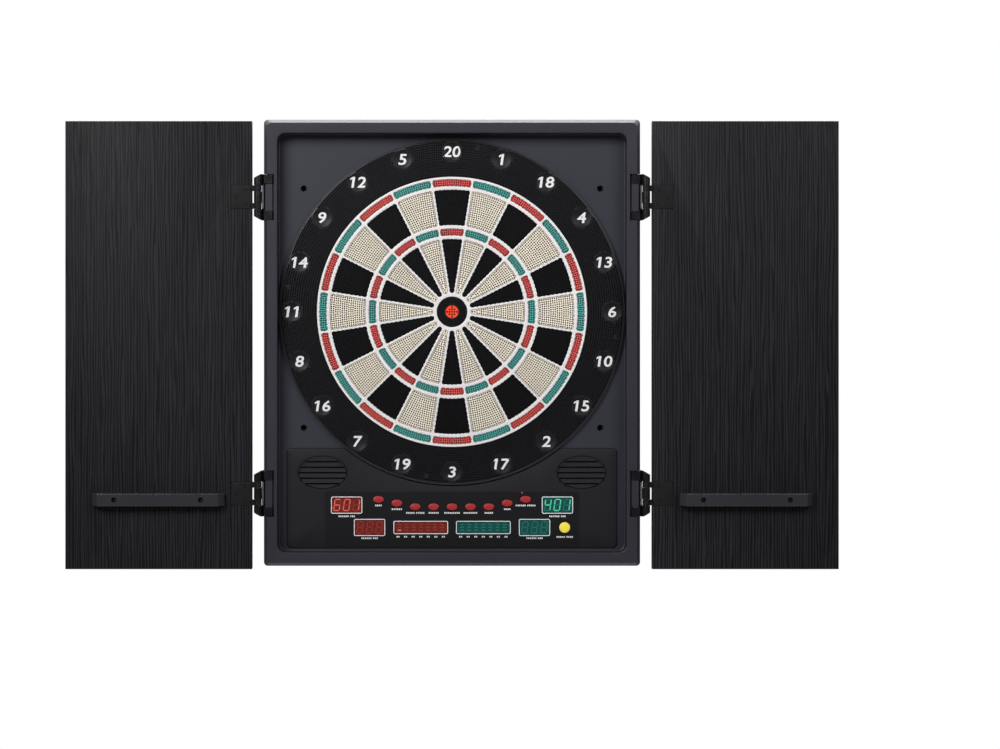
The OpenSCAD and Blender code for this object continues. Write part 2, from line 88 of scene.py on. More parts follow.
PIN_LOW, PIN_HIGH = node_box("hinge_pins")
COVER_D = node_depths("rear_cover")[1]

# ---- sizes the boxes can't give, as in the CAD model ---------------------------------------

NUMBERS = [20, 1, 18, 4, 13, 6, 10, 15, 2, 17, 3, 19, 7, 16, 8, 11, 14, 9, 12, 5]
KEYS = ["game", "option", "player", "double", "solo", "handicap", "sound", "miss", "select"]
FULL_TURN = 2 * math.pi
HALF_TURN = math.pi
QUARTER_TURN = math.pi / 2
SECTOR = FULL_TURN / len(NUMBERS)
GAP = 0.3
RIM_W = 17
WALL = 3
CORNER_R = 5
RECESS_R = 10.5
RIM_BEVEL = 4
RIM_T = 5
LIP = 0.8
FOOT = 1.6
ARM_LEN = 11
WALL_SCREW_R = 2.6
TUBE_R = 6.5
WALL_HEAD_D = 27
BULL_R = 8.2
OUTER_BULL_R = 19.6
TRIPLE_R = 97.8
DOUBLE_R = 160.7
BAND_W = 8.2
WEB_RING = 5.1
WEB_BAR = 3.5
WEB_R = DOUBLE_R + BAND_W + WEB_BAR
SINGLE_R = OUTER_BULL_R + WEB_RING
REACHES = [
    (DOUBLE_R, DOUBLE_R + BAND_W),
    (TRIPLE_R + BAND_W + WEB_RING, DOUBLE_R - WEB_RING),
    (TRIPLE_R, TRIPLE_R + BAND_W),
    (SINGLE_R, TRIPLE_R - WEB_RING),
]
RING_HOLE_R = 205
BADGE_PITCH_R = 204.5
BADGE_R = 12.3
RING_SCREW_R = 211.5
WALL_HOLES = [(x, 4.5 + z) for x in (-189.5, 189.5) for z in (-153, 153)]
WALL_HEAD_R = 4.25
CONSOLE_W = 423
CONSOLE_TOP = -174
CONSOLE_BOTTOM = -302.5
CONSOLE_R = 6.4
KEY_PITCH = 23.5
KEY_W = 14
KEY_H = 8.9
KEY_ROW_Z = -249.1
KEY_STEP_Z = 4.75
START_R = 6.9
START_X = 144
LOWER_ROW_Z = -275.6
SCORE_W = 39.5
SCORE_H = 21.4
MARKS_W = 69.5
MARKS_H = 16.4
UPPER_SCORE = (134.7, -247)
LOWER_SCORE = (105.4, LOWER_ROW_Z)
MARKS = (40, LOWER_ROW_Z)
WINDOWS = [(SCORE_W, SCORE_H, UPPER_SCORE), (SCORE_W, SCORE_H, LOWER_SCORE), (MARKS_W, MARKS_H, MARKS)]
LAMP = (89.5, -231)
LAMP_R = 0.9
SPEAKER = (165.5, -205)
GRILLE_W = 60
GRILLE_H = 39
LOUVRES = 5
LOUVRE_PITCH = 7
LOUVRE_GAP = 1.6
# section of a flush near-black ring round each speaker grille: painted shade standing for a groove
GRILLE_SHADE_RING = [(0.8, -0.2), (0.8, 0.04), (2.0, 0.04), (2.0, -0.2)]
HINGE_Z = [145.5, -231]
PIN_X = 246.5
PIN_D = RIM_D + 0.5
BRACKET_H = 58
BRACKET_T = 2.5
BRACKET_BACK_D = 33
EAR_R = 5
EAR_BACK_D = 46
EAR_SLOPE = 5
KNUCKLE_Z = 11.2
KNUCKLE_H = 7.6
KNUCKLE_R = 4.75
HOLDER_TAPER = 7.5
HOLDER_SCREW_X = 54.8
DART_HOLE_R = 3.75
DART_PITCH = 36
DART_D = RIM_D + 9.5
LEAF_W = 26.7
LEAF_H = 30
HOLE_PITCH = 2.8
TIP_HOLE_R = 1.05
BULL_HOLE_R = 1.2
BULL_HOLE_PITCH = 3.1
PIT_R = 1.34
PIT_DEPTH = 3.5
WAVE_PITCH = 5.6
WAVE = 0.7
FLANGE_R = 183
BEAD_W = 1.8
NUMBER_H = 14
DIGIT_W = 7.2
DIGIT_H = 14.2
DIGIT_PITCH = 12.2
SCREW_R = 2.9

# ---- outlines: each is a function of how far it is grown, giving points (x, z) --------------


def arc(cx, cz, r, start, end, count):
    """Points on an arc, angles in radians from +x towards +z."""
    turns = [start + (end - start) * i / count for i in range(count + 1)]
    return [(cx + r * math.cos(a), cz + r * math.sin(a)) for a in turns]


def polar(r, a):
    """A point at radius r from the bullseye, turned clockwise from the upright."""
    return (r * math.sin(a), r * math.cos(a))


def quarter_round(steps):
    """Points on a quarter of a unit circle, measured from the corner it rounds."""
    turns = [QUARTER_TURN * i / steps for i in range(steps + 1)]
    return [(1 - math.sin(a), 1 - math.cos(a)) for a in turns]


def straight(back, front):
    """Levels of a plain wall."""
    return [(back, 0), (front, 0)]


def chamfered(back, front, edge):
    """Levels of a wall with a chamfer at both ends."""
    return [(back, edge), (back + edge, 0), (front - edge, 0), (front, edge)]


def stepped(back, tall, step):
    """Levels of a wall that starts with a lip or a wider hollow."""
    return [(back, step), (back + tall, step), (back + tall + 0.01, 0)]


def disc(r, at=(0, 0), count=96):
    def outline(grow):
        return arc(at[0], at[1], r + grow, 0, FULL_TURN, count)[:-1]

    return outline


def round_place(at, count, reach=(0, 0), base=0):
    """Carries a section, points (outwards, towards the player), round a circle or an oval."""

    def place(i, out, up):
        a = FULL_TURN * i / count
        x, z = (reach[0] + out) * math.cos(a), (reach[1] + out) * math.sin(a)
        return (at[0] + x, -base - up, at[1] + z)

    return place


def oval(w, h, at=(0, 0), count=48):
    def outline(grow):
        place = round_place(at, count, (w / 2, h / 2))
        return [place(i, grow, 0)[::2] for i in range(count)]

    return outline


def rounded(w, h, r, at=(0, 0), count=8):
    """A rectangle with round corners; the corner radius grows with the outline."""

    def outline(grow):
        corner = max(r + grow, 0.05)
        x = w / 2 + grow - corner
        z = h / 2 + grow - corner
        points = []
        for i, (sx, sz) in enumerate([(1, 1), (-1, 1), (-1, -1), (1, -1)]):
            start = i * QUARTER_TURN
            points += arc(at[0] + sx * x, at[1] + sz * z, corner, start, start + QUARTER_TURN, count)
        return points

    return outline


def polygon(points):
    """A fixed outline whose corners move outwards along the mean of their sides' normals."""
    area = sum(a[0] * b[1] - b[0] * a[1] for a, b in zip(points, points[1:] + points[:1]))
    if area < 0:
        points = points[::-1]

    def outline(grow):
        moved = []
        for i, (x, z) in enumerate(points):
            before = (Vector(points[i]) - Vector(points[i - 1])).normalized()
            after = (Vector(points[(i + 1) % len(points)]) - Vector(points[i])).normalized()
            out = Vector((before.y, -before.x)) + Vector((after.y, -after.x))
            share = grow * 2 / max(out.length_squared, 0.5)
            moved.append((x + out.x * share, z + out.y * share))
        return moved

    return outline


def softened(points, r, steps=4):
    """The corners of an outline rounded to a radius."""
    rounded_off = []
    for i, point in enumerate(points):
        corner = Vector(point)
        before = (Vector(points[i - 1]) - corner).normalized()
        after = (Vector(points[(i + 1) % len(points)]) - corner).normalized()
        for k in range(steps + 1):
            t = k / steps
            p = corner + before * r * (1 - t) ** 2 + after * r * t**2
            rounded_off.append((p.x, p.y))
    return rounded_off


def sector(inner, outer, side, wave=0.0):
    """One twentieth of a ring about the upright. side is how far the straight sides lie inside
    the sector's boundaries, and wave the depth of the scallops that eat into its neighbours."""
    sweep = SECTOR / 2
    waves = max(1, round((outer - inner) / WAVE_PITCH))
    side_steps = waves * 6 if wave else 1

    def scallop(share, count):
        return wave * (0.5 - 0.5 * math.cos(FULL_TURN * share * count))

    def outline(grow):
        points = []
        low, high = inner - grow, outer + grow
        for sign, start, end in ((1, low, high), (-1, high, low)):
            for i in range(side_steps + 1):
                share = i / side_steps
                r = start + (end - start) * share
                a = sweep - math.asin((side - grow - scallop(share, waves)) / r)
                points.append(polar(r, sign * a))
            arc_waves = max(1, round((outer if end == high else inner) * SECTOR / WAVE_PITCH))
            arc_steps = arc_waves * 6 if wave else 14
            a = sweep - math.asin((side - grow) / end)
            for i in range(1, arc_steps):
                share = i / arc_steps
                r = end + (1 if end == high else -1) * scallop(share, arc_waves)
                points.append(polar(r, sign * a * (1 - 2 * share)))
        return points

    return outline


def turned(outline, angle):
    """The same outline turned clockwise about the bullseye."""

    def moved(grow):
        c, s = math.cos(angle), math.sin(angle)
        return [(x * c + z * s, z * c - x * s) for x, z in outline(grow)]

    return moved


def console_outline(grow):
    """The raised console: a rounded rectangle cut away by the catch ring."""
    hollow = CATCH_R + GAP - grow
    x = CONSOLE_W / 2 + grow - CONSOLE_R
    top = CONSOLE_TOP + grow
    bottom = CONSOLE_BOTTOM - grow
    meet = math.acos(math.sqrt(hollow**2 - top**2) / hollow)
    points = arc(0, 0, hollow, -HALF_TURN + meet, -meet, 60)
    high, low = top - CONSOLE_R, bottom + CONSOLE_R
    for at_x, at_z, quarters in ((x, high, 1), (x, low, 0), (-x, low, -1), (-x, high, 2)):
        start = quarters * QUARTER_TURN
        points += arc(at_x, at_z, CONSOLE_R, start, start - QUARTER_TURN, 8)
    return points


# ---- mesh building -----------------------------------------------------------------------


def inside(point, loop):
    x, z = point
    hit = False
    for i in range(len(loop)):
        (x0, z0), (x1, z1) = loop[i - 1], loop[i]
        if (z0 > z) != (z1 > z) and x < (x1 - x0) * (z - z0) / (z1 - z0) + x0:
            hit = not hit
    return hit


def cap(rims, points):
    """Triangles that fill the first rim around the others. rims are lists of vertex numbers."""
    flat, owner, numbers, edges = [], [], [], []
    for k, rim in enumerate(rims):
        start = len(flat)
        flat += [Vector(points[v]) for v in rim]
        owner += [k] * len(rim)
        numbers += rim
        edges += [(start + i, start + (i + 1) % len(rim)) for i in range(len(rim))]
    found = delaunay_2d_cdt(flat, edges, [], 1, 1e-7, True)
    source = [o[0] if o else -1 for o in found[3]]
    filled = []
    for tri in found[2]:
        corners = [source[v] for v in tri]
        if min(corners) < 0:
            continue
        loops = {owner[c] for c in corners}
        centre = sum((flat[c] for c in corners), Vector((0, 0))) / 3
        if len(loops) == 1 and 0 not in loops:
            if inside(centre, [points[v] for v in rims[loops.pop()]]):
                continue
        elif loops == {0} and not inside(centre, [points[v] for v in rims[0]]):
            continue
        filled.append([numbers[c] for c in corners])
    return filled


def rounded_edge(depth_from, depth_to, radius, steps=3):
    """Levels of an outer wall from back to front, its front edge rounded."""
    levels = [(depth_to - radius * back, radius * eaten) for back, eaten in quarter_round(steps)]
    return [(depth_from, 0)] + levels


def linked(name, data):
    """A new object in the scene."""
    obj = bpy.data.objects.new(name, data)
    bpy.context.scene.collection.objects.link(obj)
    return obj


class Shell:
    """Vertices and faces of one mesh, gathered from closed solids."""

    def __init__(self):
        self.points = []
        self.faces = []

    def rows(self, outline, levels, sign):
        """Rows of vertices, one for each level (depth, how much is eaten away)."""
        made = []
        for depth, eaten in levels:
            flat = outline(sign * eaten)
            start = len(self.points)
            self.points += [(x, -depth, z) for x, z in flat]
            made.append(list(range(start, start + len(flat))))
        for low, high in zip(made, made[1:]):
            for i in range(len(low)):
                after = (i + 1) % len(low)
                self.faces.append([low[i], low[after], high[after], high[i]])
        return made

    def plate(self, outer, holes=(), pits=()):
        """A plate. outer and each hole are (outline, levels from back to front); a pit goes in
        from the front: (outline, levels from front to bottom)."""
        walls = [self.rows(outer[0], outer[1], -1)]
        walls += [self.rows(o, levels, 1) for o, levels in holes]
        sunk = [self.rows(o, levels, 1) for o, levels in pits]
        flat = {v: self.points[v][::2] for w in walls + sunk for row in w for v in row}
        self.faces += cap([w[0] for w in walls], flat)
        self.faces += cap([w[-1] for w in walls] + [p[0] for p in sunk], flat)
        self.faces += [p[-1] for p in sunk]
        return self

    def tube(self, section, count, place):
        """A closed section, points (a, b), carried round a loop by place(step, a, b)."""
        start = len(self.points)
        size = len(section)
        for i in range(count):
            self.points += [place(i, a, b) for a, b in section]
        for i in range(count):
            here = start + i * size
            after = start + (i + 1) % count * size
            for j in range(size):
                k = (j + 1) % size
                self.faces.append([here + j, here + k, after + k, after + j])
        return self

    def lathe(self, profile, centre, axis="y", count=32):
        """A turned solid about the y or z axis through centre. profile is points (radius, along)."""
        rings = []
        for r, along in profile:
            ring = []
            for i in range(count if r > 0 else 1):
                a = FULL_TURN * i / count
                u, v = r * math.cos(a), r * math.sin(a)
                offset = {"y": (u, -along, v), "z": (u, v, along)}[axis]
                ring.append(len(self.points))
                self.points.append(tuple(c + o for c, o in zip(centre, offset)))
            rings.append(ring)
        for low, high in zip(rings, rings[1:]):
            for i in range(count):
                quad = [low[i % len(low)], low[(i + 1) % len(low)]]
                quad += [high[(i + 1) % len(high)], high[i % len(high)]]
                self.faces.append([v for k, v in enumerate(quad) if v not in quad[:k]])
        for ring in (rings[0], rings[-1]):
            if len(ring) > 1:
                self.faces.append(ring)
        return self

    def block(self, low, high, edge=0.3):
        """A box with chamfered edges."""
        cx, cz = (low[0] + high[0]) / 2, (low[2] + high[2]) / 2
        outline = rounded(high[0] - low[0], high[2] - low[2], edge, at=(cx, cz), count=2)
        return self.plate((outline, chamfered(-high[1], -low[1], edge)))

    def pocket(self, sign, x0, x1, z, half, deep):
        """A block for cutting a pocket from the rim's front, on the side that sign gives."""
        xs = sorted((sign * x0, sign * x1))
        return self.block((xs[0], -RIM_D - 1, z - half), (xs[1], -RIM_D + deep, z + half), 0.01)

    def add(self, other, matrix=Matrix.Identity(4)):
        """Another shell's solids, moved by a matrix in millimetres."""
        start = len(self.points)
        self.points += [tuple(matrix @ Vector(p)) for p in other.points]
        self.faces += [[v + start for v in face] for face in other.faces]
        return self

    def loose(self, name):
        """The shell as an object in metres, its faces turned outwards."""
        mesh = bpy.data.meshes.new(name)
        mesh.from_pydata([tuple(c * MM for c in p) for p in self.points], [], self.faces)
        work = bmesh.new()
        work.from_mesh(mesh)
        bmesh.ops.recalc_face_normals(work, faces=work.faces)
        work.to_mesh(mesh)
        work.free()
        return linked(name, mesh)

    def piece(self, name, body, finish, smooth=35, slot=None, replaces=()):
        """The finished piece, riding on a body."""
        return dress(self.loose(name), body, finish, smooth, slot, replaces)


def dress(obj, body, finish, smooth=35, slot=None, replaces=()):
    obj.data.materials.clear()
    obj.data.materials.append(finish)
    soften(obj.data, smooth)
    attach(obj, body)
    if replaces:
        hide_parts(*replaces)
    return obj


def soften(mesh, degrees):
    mesh.polygons.foreach_set("use_smooth", [True] * len(mesh.polygons))
    mesh.set_sharp_from_angle(angle=math.radians(degrees))


def cut(obj, tool, smooth=35):
    """Cuts a shell's solids out of a piece."""
    cutter = tool.loose("tool")
    modifier = obj.modifiers.new("cut", "BOOLEAN")
    modifier.object = cutter
    modifier.operation = "DIFFERENCE"
    modifier.solver = "EXACT"
    graph = bpy.context.evaluated_depsgraph_get()
    result = bpy.data.meshes.new_from_object(obj.evaluated_get(graph))
    obj.modifiers.clear()
    obj.data = result
    bpy.data.objects.remove(cutter)
    soften(obj.data, smooth)


def mirrored(sign):
    return Matrix.Diagonal((sign, 1, 1, 1))


# ---- materials ---------------------------------------------------------------------------


def srgb(r, g, b):
    """A screen colour, each part 0 to 255, as linear RGBA."""

    def linear(c):
        c /= 255
        return c / 12.92 if c <= 0.04045 else ((c + 0.055) / 1.055) ** 2.4

    return (linear(r), linear(g), linear(b), 1)


def fill(node, sockets):
    """Gives values to a node's sockets; an underscore stands for a space in a name."""
    for socket, value in sockets.items():
        node.inputs[socket.replace("_", " ")].default_value = value
    return node


class Finish:
    """A Principled material with helpers for its procedural nodes."""

    def __init__(self, name, **sockets):
        self.material = bpy.data.materials.new(name)
        self.material.use_nodes = True
        self.nodes = self.material.node_tree.nodes
        self.links = self.material.node_tree.links
        self.shader = self.nodes["Principled BSDF"]
        fill(self.shader, sockets)

    def node(self, kind, **sockets):
        return fill(self.nodes.new(f"ShaderNode{kind}"), sockets)

    def texture(self, kind, mapping, **sockets):
        """A texture in object space; its scale is features to the metre."""
        place = self.node("TexCoord")
        moved = self.node("Mapping", **mapping)
        texture = self.node(kind, **sockets)
        self.links.new(place.outputs["Object"], moved.inputs["Vector"])
        self.links.new(moved.outputs["Vector"], texture.inputs["Vector"])
        return texture

    def noise(self, scale, detail, stretch=(1, 1, 1)):
        return self.texture("TexNoise", {"Scale": stretch}, Scale=scale, Detail=detail).outputs["Fac"]

    def colours(self, source, stops):
        ramp = self.node("ValToRGB")
        elements = ramp.color_ramp.elements
        while len(elements) < len(stops):
            elements.new(0.5)
        for element, (position, colour) in zip(elements, stops):
            element.position = position
            element.color = colour
        self.links.new(source, ramp.inputs["Fac"])
        self.links.new(ramp.outputs["Color"], self.shader.inputs["Base Color"])
        return self

    def roughness(self, source, low, high):
        spread = self.node("MapRange", From_Min=0.3, From_Max=0.7, To_Min=low, To_Max=high)
        self.links.new(source, spread.inputs["Value"])
        self.links.new(spread.outputs["Result"], self.shader.inputs["Roughness"])
        return self

    def bump(self, source, strength, height):
        """height is in metres."""
        bump = self.node("Bump", Strength=strength, Distance=height)
        self.links.new(source, bump.inputs["Height"])
        before = self.shader.inputs["Normal"].links
        if before:
            self.links.new(before[0].from_socket, bump.inputs["Normal"])
        self.links.new(bump.outputs["Normal"], self.shader.inputs["Normal"])
        return self


def shade(colour, factor):
    """A screen colour as linear RGBA, made lighter or darker."""
    return tuple(c * factor for c in srgb(*colour)[:3]) + (1,)


def moulded(name, colour, rough=(0.35, 0.5), grain=1800, depth=0.00004, mottle=0.08, specular=0.4):
    """Moulded plastic: a fine spark-eroded grain and a slight cloudiness in colour and gloss."""
    finish = Finish(name, Specular_IOR_Level=specular)
    cloud = finish.noise(9, 3)
    fine = finish.noise(grain, 3)
    finish.colours(cloud, [(0.3, shade(colour, 1 - mottle)), (0.7, shade(colour, 1 + mottle))])
    finish.roughness(fine, *rough)
    finish.bump(fine, 0.35, depth)
    return finish.material


def coated_steel(name, colour, rough):
    finish = Finish(name, Specular_IOR_Level=0.3)
    cloud = finish.noise(60, 4)
    finish.colours(cloud, [(0.3, shade(colour, 0.9)), (0.7, shade(colour, 1.12))])
    finish.roughness(finish.noise(120, 3), *rough)
    finish.bump(finish.noise(900, 2), 0.1, 0.00001)
    return finish.material


def plated_steel(name, colour):
    finish = Finish(name, Metallic=1.0)
    streaks = finish.noise(700, 4, stretch=(1, 1, 0.1))
    finish.colours(streaks, [(0.25, shade(colour, 0.75)), (0.75, shade(colour, 1.15))])
    finish.roughness(streaks, 0.22, 0.42)
    return finish.material


def wood_foil(name):
    """Black foil with upright grain: fine lines that wander a little, and pores between them."""
    finish = Finish(name, Specular_IOR_Level=0.15)
    upright_lines = {"Scale": (1, 1, 0.05)}
    lines = finish.texture(
        "TexWave", upright_lines, Scale=84, Distortion=11, Detail=3, Detail_Scale=1.3
    )
    finish.colours(lines.outputs["Fac"], [(0.2, srgb(11, 11, 13)), (0.8, srgb(33, 33, 37))])
    pores = finish.noise(900, 2, stretch=(1, 1, 0.03))
    finish.roughness(pores, 0.42, 0.62)
    finish.bump(lines.outputs["Fac"], 0.3, 0.00012)
    finish.bump(pores, 0.25, 0.00008)
    return finish.material


def tinted(name, colour):
    """Clear tinted acrylic in front of a display."""
    finish = Finish(name, Roughness=0.1, Alpha=0.45, Coat_Weight=0.6, Coat_Roughness=0.05)
    finish.colours(finish.noise(30, 2), [(0.3, shade(colour, 0.92)), (0.7, shade(colour, 1.08))])
    return finish.material


def glowing(name, colour, strength):
    finish = Finish(name, Roughness=0.4, Emission_Color=srgb(*colour), Emission_Strength=strength)
    finish.colours(finish.noise(300, 2), [(0.3, shade(colour, 0.85)), (0.7, shade(colour, 1))])
    return finish.material


def dull(name, colour, rough=(0.7, 0.9), grain=500, depth=0.0001):
    return moulded(name, colour, rough, grain, depth, 0.15, 0.2)


def circuit(name):
    """Green solder mask with lighter tracks."""
    finish = Finish(name, Specular_IOR_Level=0.5)
    tracks = finish.texture(
        "TexBrick",
        {"Rotation": (QUARTER_TURN, 0, 0)},
        Scale=60,
        Color1=srgb(24, 84, 46),
        Color2=srgb(30, 98, 54),
        Mortar=srgb(58, 132, 74),
        Mortar_Size=0.03,
    )
    finish.links.new(tracks.outputs["Color"], finish.shader.inputs["Base Color"])
    finish.roughness(finish.noise(200, 2), 0.25, 0.4)
    return finish.material


SEGMENT_FINISH = ((0.34, 0.46), 1600, 0.00004, 0.05, 0.3)
BODY_FINISH = ((0.4, 0.52), 1500, 0.00005)
HOUSING = moulded("housing_plastic", (40, 40, 48), *BODY_FINISH, specular=0.3)
PANEL = moulded("panel_plastic", (44, 44, 54), *BODY_FINISH, specular=0.3)
CONSOLE = moulded("console_plastic", (26, 26, 30), *BODY_FINISH, specular=0.25)
# near-black for the ring round each grille: painted shade of a groove that is not cut
GROOVE_SHADE = moulded("grille_groove_painted_shade", (9, 9, 10), specular=0.1)
COVER = moulded("cover_plastic", (34, 34, 37), (0.5, 0.7), 900, 0.00012)
RING = moulded("ring_plastic", (27, 27, 30), (0.3, 0.42), specular=0.25)
BEAD = moulded("bead_plastic", (46, 46, 49), specular=0.25)
BADGE = moulded("badge_plastic", (21, 21, 24), (0.36, 0.46), specular=0.2)
WHITE_INK = moulded("number_white", (222, 222, 222), (0.4, 0.5), 1200, 0.00002, 0.02)
WEB = moulded("web_plastic", (224, 220, 219), (0.3, 0.42), 1400, 0.00003, 0.03)
BLACK = moulded("segment_black", (16, 16, 18), (0.34, 0.46), specular=0.2)
CREAM = moulded("segment_cream", (240, 230, 213), (0.38, 0.5), 1600, 0.00004, 0.04, 0.3)
RED = moulded("segment_red", (228, 96, 92), *SEGMENT_FINISH)
TEAL = moulded("segment_teal", (88, 174, 166), *SEGMENT_FINISH)
BULL_RED = moulded("bull_red", (246, 76, 50), *SEGMENT_FINISH)
OVERLAY = moulded("overlay_print", (17, 17, 20), (0.45, 0.55), 2400, 0.00002, specular=0.2)
PRINT = moulded("overlay_white", (228, 228, 232), (0.45, 0.55), 2400, 0.00001, 0.02)
KEY_RED = moulded("key_red", (164, 42, 44), (0.34, 0.46), 1500, 0.00003, 0.04, 0.35)
START = moulded("start_yellow", (255, 236, 90), (0.34, 0.46), 1500, 0.00003, 0.04)
HOLDER = moulded("holder_plastic", (42, 42, 47), (0.36, 0.48), specular=0.25)
JACK = moulded("jack_plastic", (18, 18, 20), (0.3, 0.4))
HINGE = coated_steel("hinge_black", (15, 15, 17), (0.24, 0.36))
LEAF = dull("leaf_black", (17, 17, 19), (0.55, 0.7), 900, 0.00002)
# pale grey on the black bracket's front edge: a painted highlight
EDGE_HIGHLIGHT = moulded("bracket_edge_painted_highlight", (100, 100, 102), specular=0.1)
SCREW = plated_steel("screw_steel", (190, 190, 196))
PIN = plated_steel("pin_steel", (120, 120, 124))
DOOR = wood_foil("door_wood")
RED_WINDOW = tinted("red_window", (134, 44, 36))
GREEN_WINDOW = tinted("green_window", (22, 96, 90))
RED_BACK = moulded("red_display", (142, 62, 52), (0.4, 0.5), 800)
GREEN_BACK = moulded("green_display", (24, 100, 94), (0.4, 0.5), 800)
RED_LIT = glowing("red_lit", (255, 120, 106), 1.6)
# the unlit bars, marks and lamp glow faintly too: a painted glow standing in for light they only reflect
RED_UNLIT_GLOW = glowing("red_unlit_painted_glow", (196, 78, 70), 0.45)
GREEN_LIT = glowing("green_lit", (120, 255, 196), 1.5)
GREEN_UNLIT_GLOW = glowing("green_unlit_painted_glow", (62, 164, 142), 0.4)
BOARD = circuit("circuit_board")
RUBBER = dull("mat_rubber", (58, 58, 60))
PAD = dull("pad_rubber", (142, 142, 144))
FILM = moulded("film_plastic", (190, 166, 100), (0.2, 0.35), 300)
HARDBOARD = dull("hardboard", (122, 88, 58), (0.7, 0.85), 900, 0.0002)
CONE = dull("speaker_black", (34, 34, 36))

# ---- camera, light and floor ---------------------------------------------------------------


def studio():
    """The camera faces the board squarely from afar; its shift only frames the board as seen."""
    distance = 3.4
    field = 1.2695
    middle_right, middle_down = 0.0609, 0.0798
    aim = Vector((0, 0, (DOOR_LOW.z + HOUSING_HIGH.z) / 2 * MM))
    data = bpy.data.cameras.new("camera")
    data.sensor_width = 36
    data.lens = 36 * distance / field
    data.shift_x = middle_right / field
    data.shift_y = -(middle_down + aim.z) / field
    camera = linked("camera", data)
    camera.location = (aim.x, -distance - RIM_D * MM, aim.z)
    camera.rotation_euler = (QUARTER_TURN, 0, 0)
    bpy.context.scene.camera = camera
    bpy.context.scene.view_settings.view_transform = "Standard"

    world = bpy.data.worlds.new("studio")
    bpy.context.scene.world = world
    world.use_nodes = True
    nodes, links = world.node_tree.nodes, world.node_tree.links
    seen = fill(nodes.new("ShaderNodeBackground"), {"Color": (1, 1, 1, 1), "Strength": 1})
    lit = fill(nodes["Background"], {"Color": (0.95, 0.97, 1, 1), "Strength": 0.14})
    ray = nodes.new("ShaderNodeLightPath")
    mix = nodes.new("ShaderNodeMixShader")
    links.new(ray.outputs["Is Camera Ray"], mix.inputs["Fac"])
    links.new(lit.outputs["Background"], mix.inputs[1])
    links.new(seen.outputs["Background"], mix.inputs[2])
    links.new(mix.outputs["Shader"], nodes["World Output"].inputs["Surface"])

    def softbox(name, place, target, size, power, beam=180):
        light = bpy.data.lights.new(name, "AREA")
        light.spread = math.radians(beam)
        light.shape = "RECTANGLE"
        light.size, light.size_y = size
        light.energy = power
        obj = linked(name, light)
        obj.location = place
        direction = Vector(target) - Vector(place)
        obj.rotation_euler = direction.to_track_quat("-Z", "Y").to_euler()

    softbox("key", (-1.1, -2.0, 1.1), (0.2, 0, 0.37), (1.2, 1.1), 12.8, 84)
    softbox("top", (0, 0.26, 0.8), (0, 0.26, 0), (2.2, 0.7), 98)
    softbox("fill", (1.3, -2.0, 1.1), (0, 0, 0.36), (1.2, 1.1), 5.5, 84)
    softbox("back", (0.5, 2.4, 1.2), (0, 0, 0), (2.0, 1.4), 36)

    floor_mesh = bpy.data.meshes.new("floor")
    corners = disc(1.15)(0)
    floor_mesh.from_pydata([(x, y, 0) for x, y in corners], [], [range(len(corners))])
    floor = linked("floor", floor_mesh)
    floor.location.z = -1.0
    finish = Finish("floor", Roughness=0.8, Specular_IOR_Level=0.1)
    finish.colours(finish.noise(2, 2), [(0.3, srgb(204, 204, 204)), (0.7, srgb(208, 208, 208))])
    floor_mesh.materials.append(finish.material)


# ---- cabinet -------------------------------------------------------------------------------


def body_outline(grow):
    """The body's outline; its corner radius widens from the outside to the recess."""
    inset = -grow
    corner = CORNER_R + (RECESS_R - CORNER_R) * max(0, inset) / RIM_W
    return rounded(BODY_W, BODY_H, corner + inset, at=(0, BODY_Z), count=10)(grow)


def key_centres():
    return [(KEY_PITCH * i, KEY_ROW_Z + max(0, abs(i) - 2) * KEY_STEP_Z) for i in range(-4, 5)]


def window_outlines(side):
    return [rounded(w, h, 2, at=(side * x, z)) for w, h, (x, z) in WINDOWS]


def control_holes():
    """Outlines of what comes through the console: keys, start button, lamp and windows."""
    holes = [oval(KEY_W + 2 * GAP, KEY_H + 2 * GAP, at=c) for c in key_centres()]
    holes.append(disc(START_R + GAP, at=(START_X, LOWER_ROW_Z), count=40))
    holes.append(disc(LAMP_R + 0.05, at=LAMP, count=16))
    return holes + window_outlines(-1) + window_outlines(1)


def louvre(w, at):
    """A level slot whose lower edge alone moves when the outline grows: a sloping blade."""

    def outline(grow):
        place = (at[0], at[1] - grow / 2)
        return rounded(w + grow * 0.3, LOUVRE_GAP + grow, LOUVRE_GAP / 2 - 0.01, at=place)(0)

    return outline


def louvre_slots():
    slots = []
    for side in (-1, 1):
        for i in range(LOUVRES):
            z = (i - (LOUVRES - 1) / 2) * LOUVRE_PITCH
            w = GRILLE_W * math.sqrt(1 - (2 * z / GRILLE_H) ** 2)
            slots.append(louvre(w, (side * SPEAKER[0], SPEAKER[1] + z - 0.6)))
    return slots


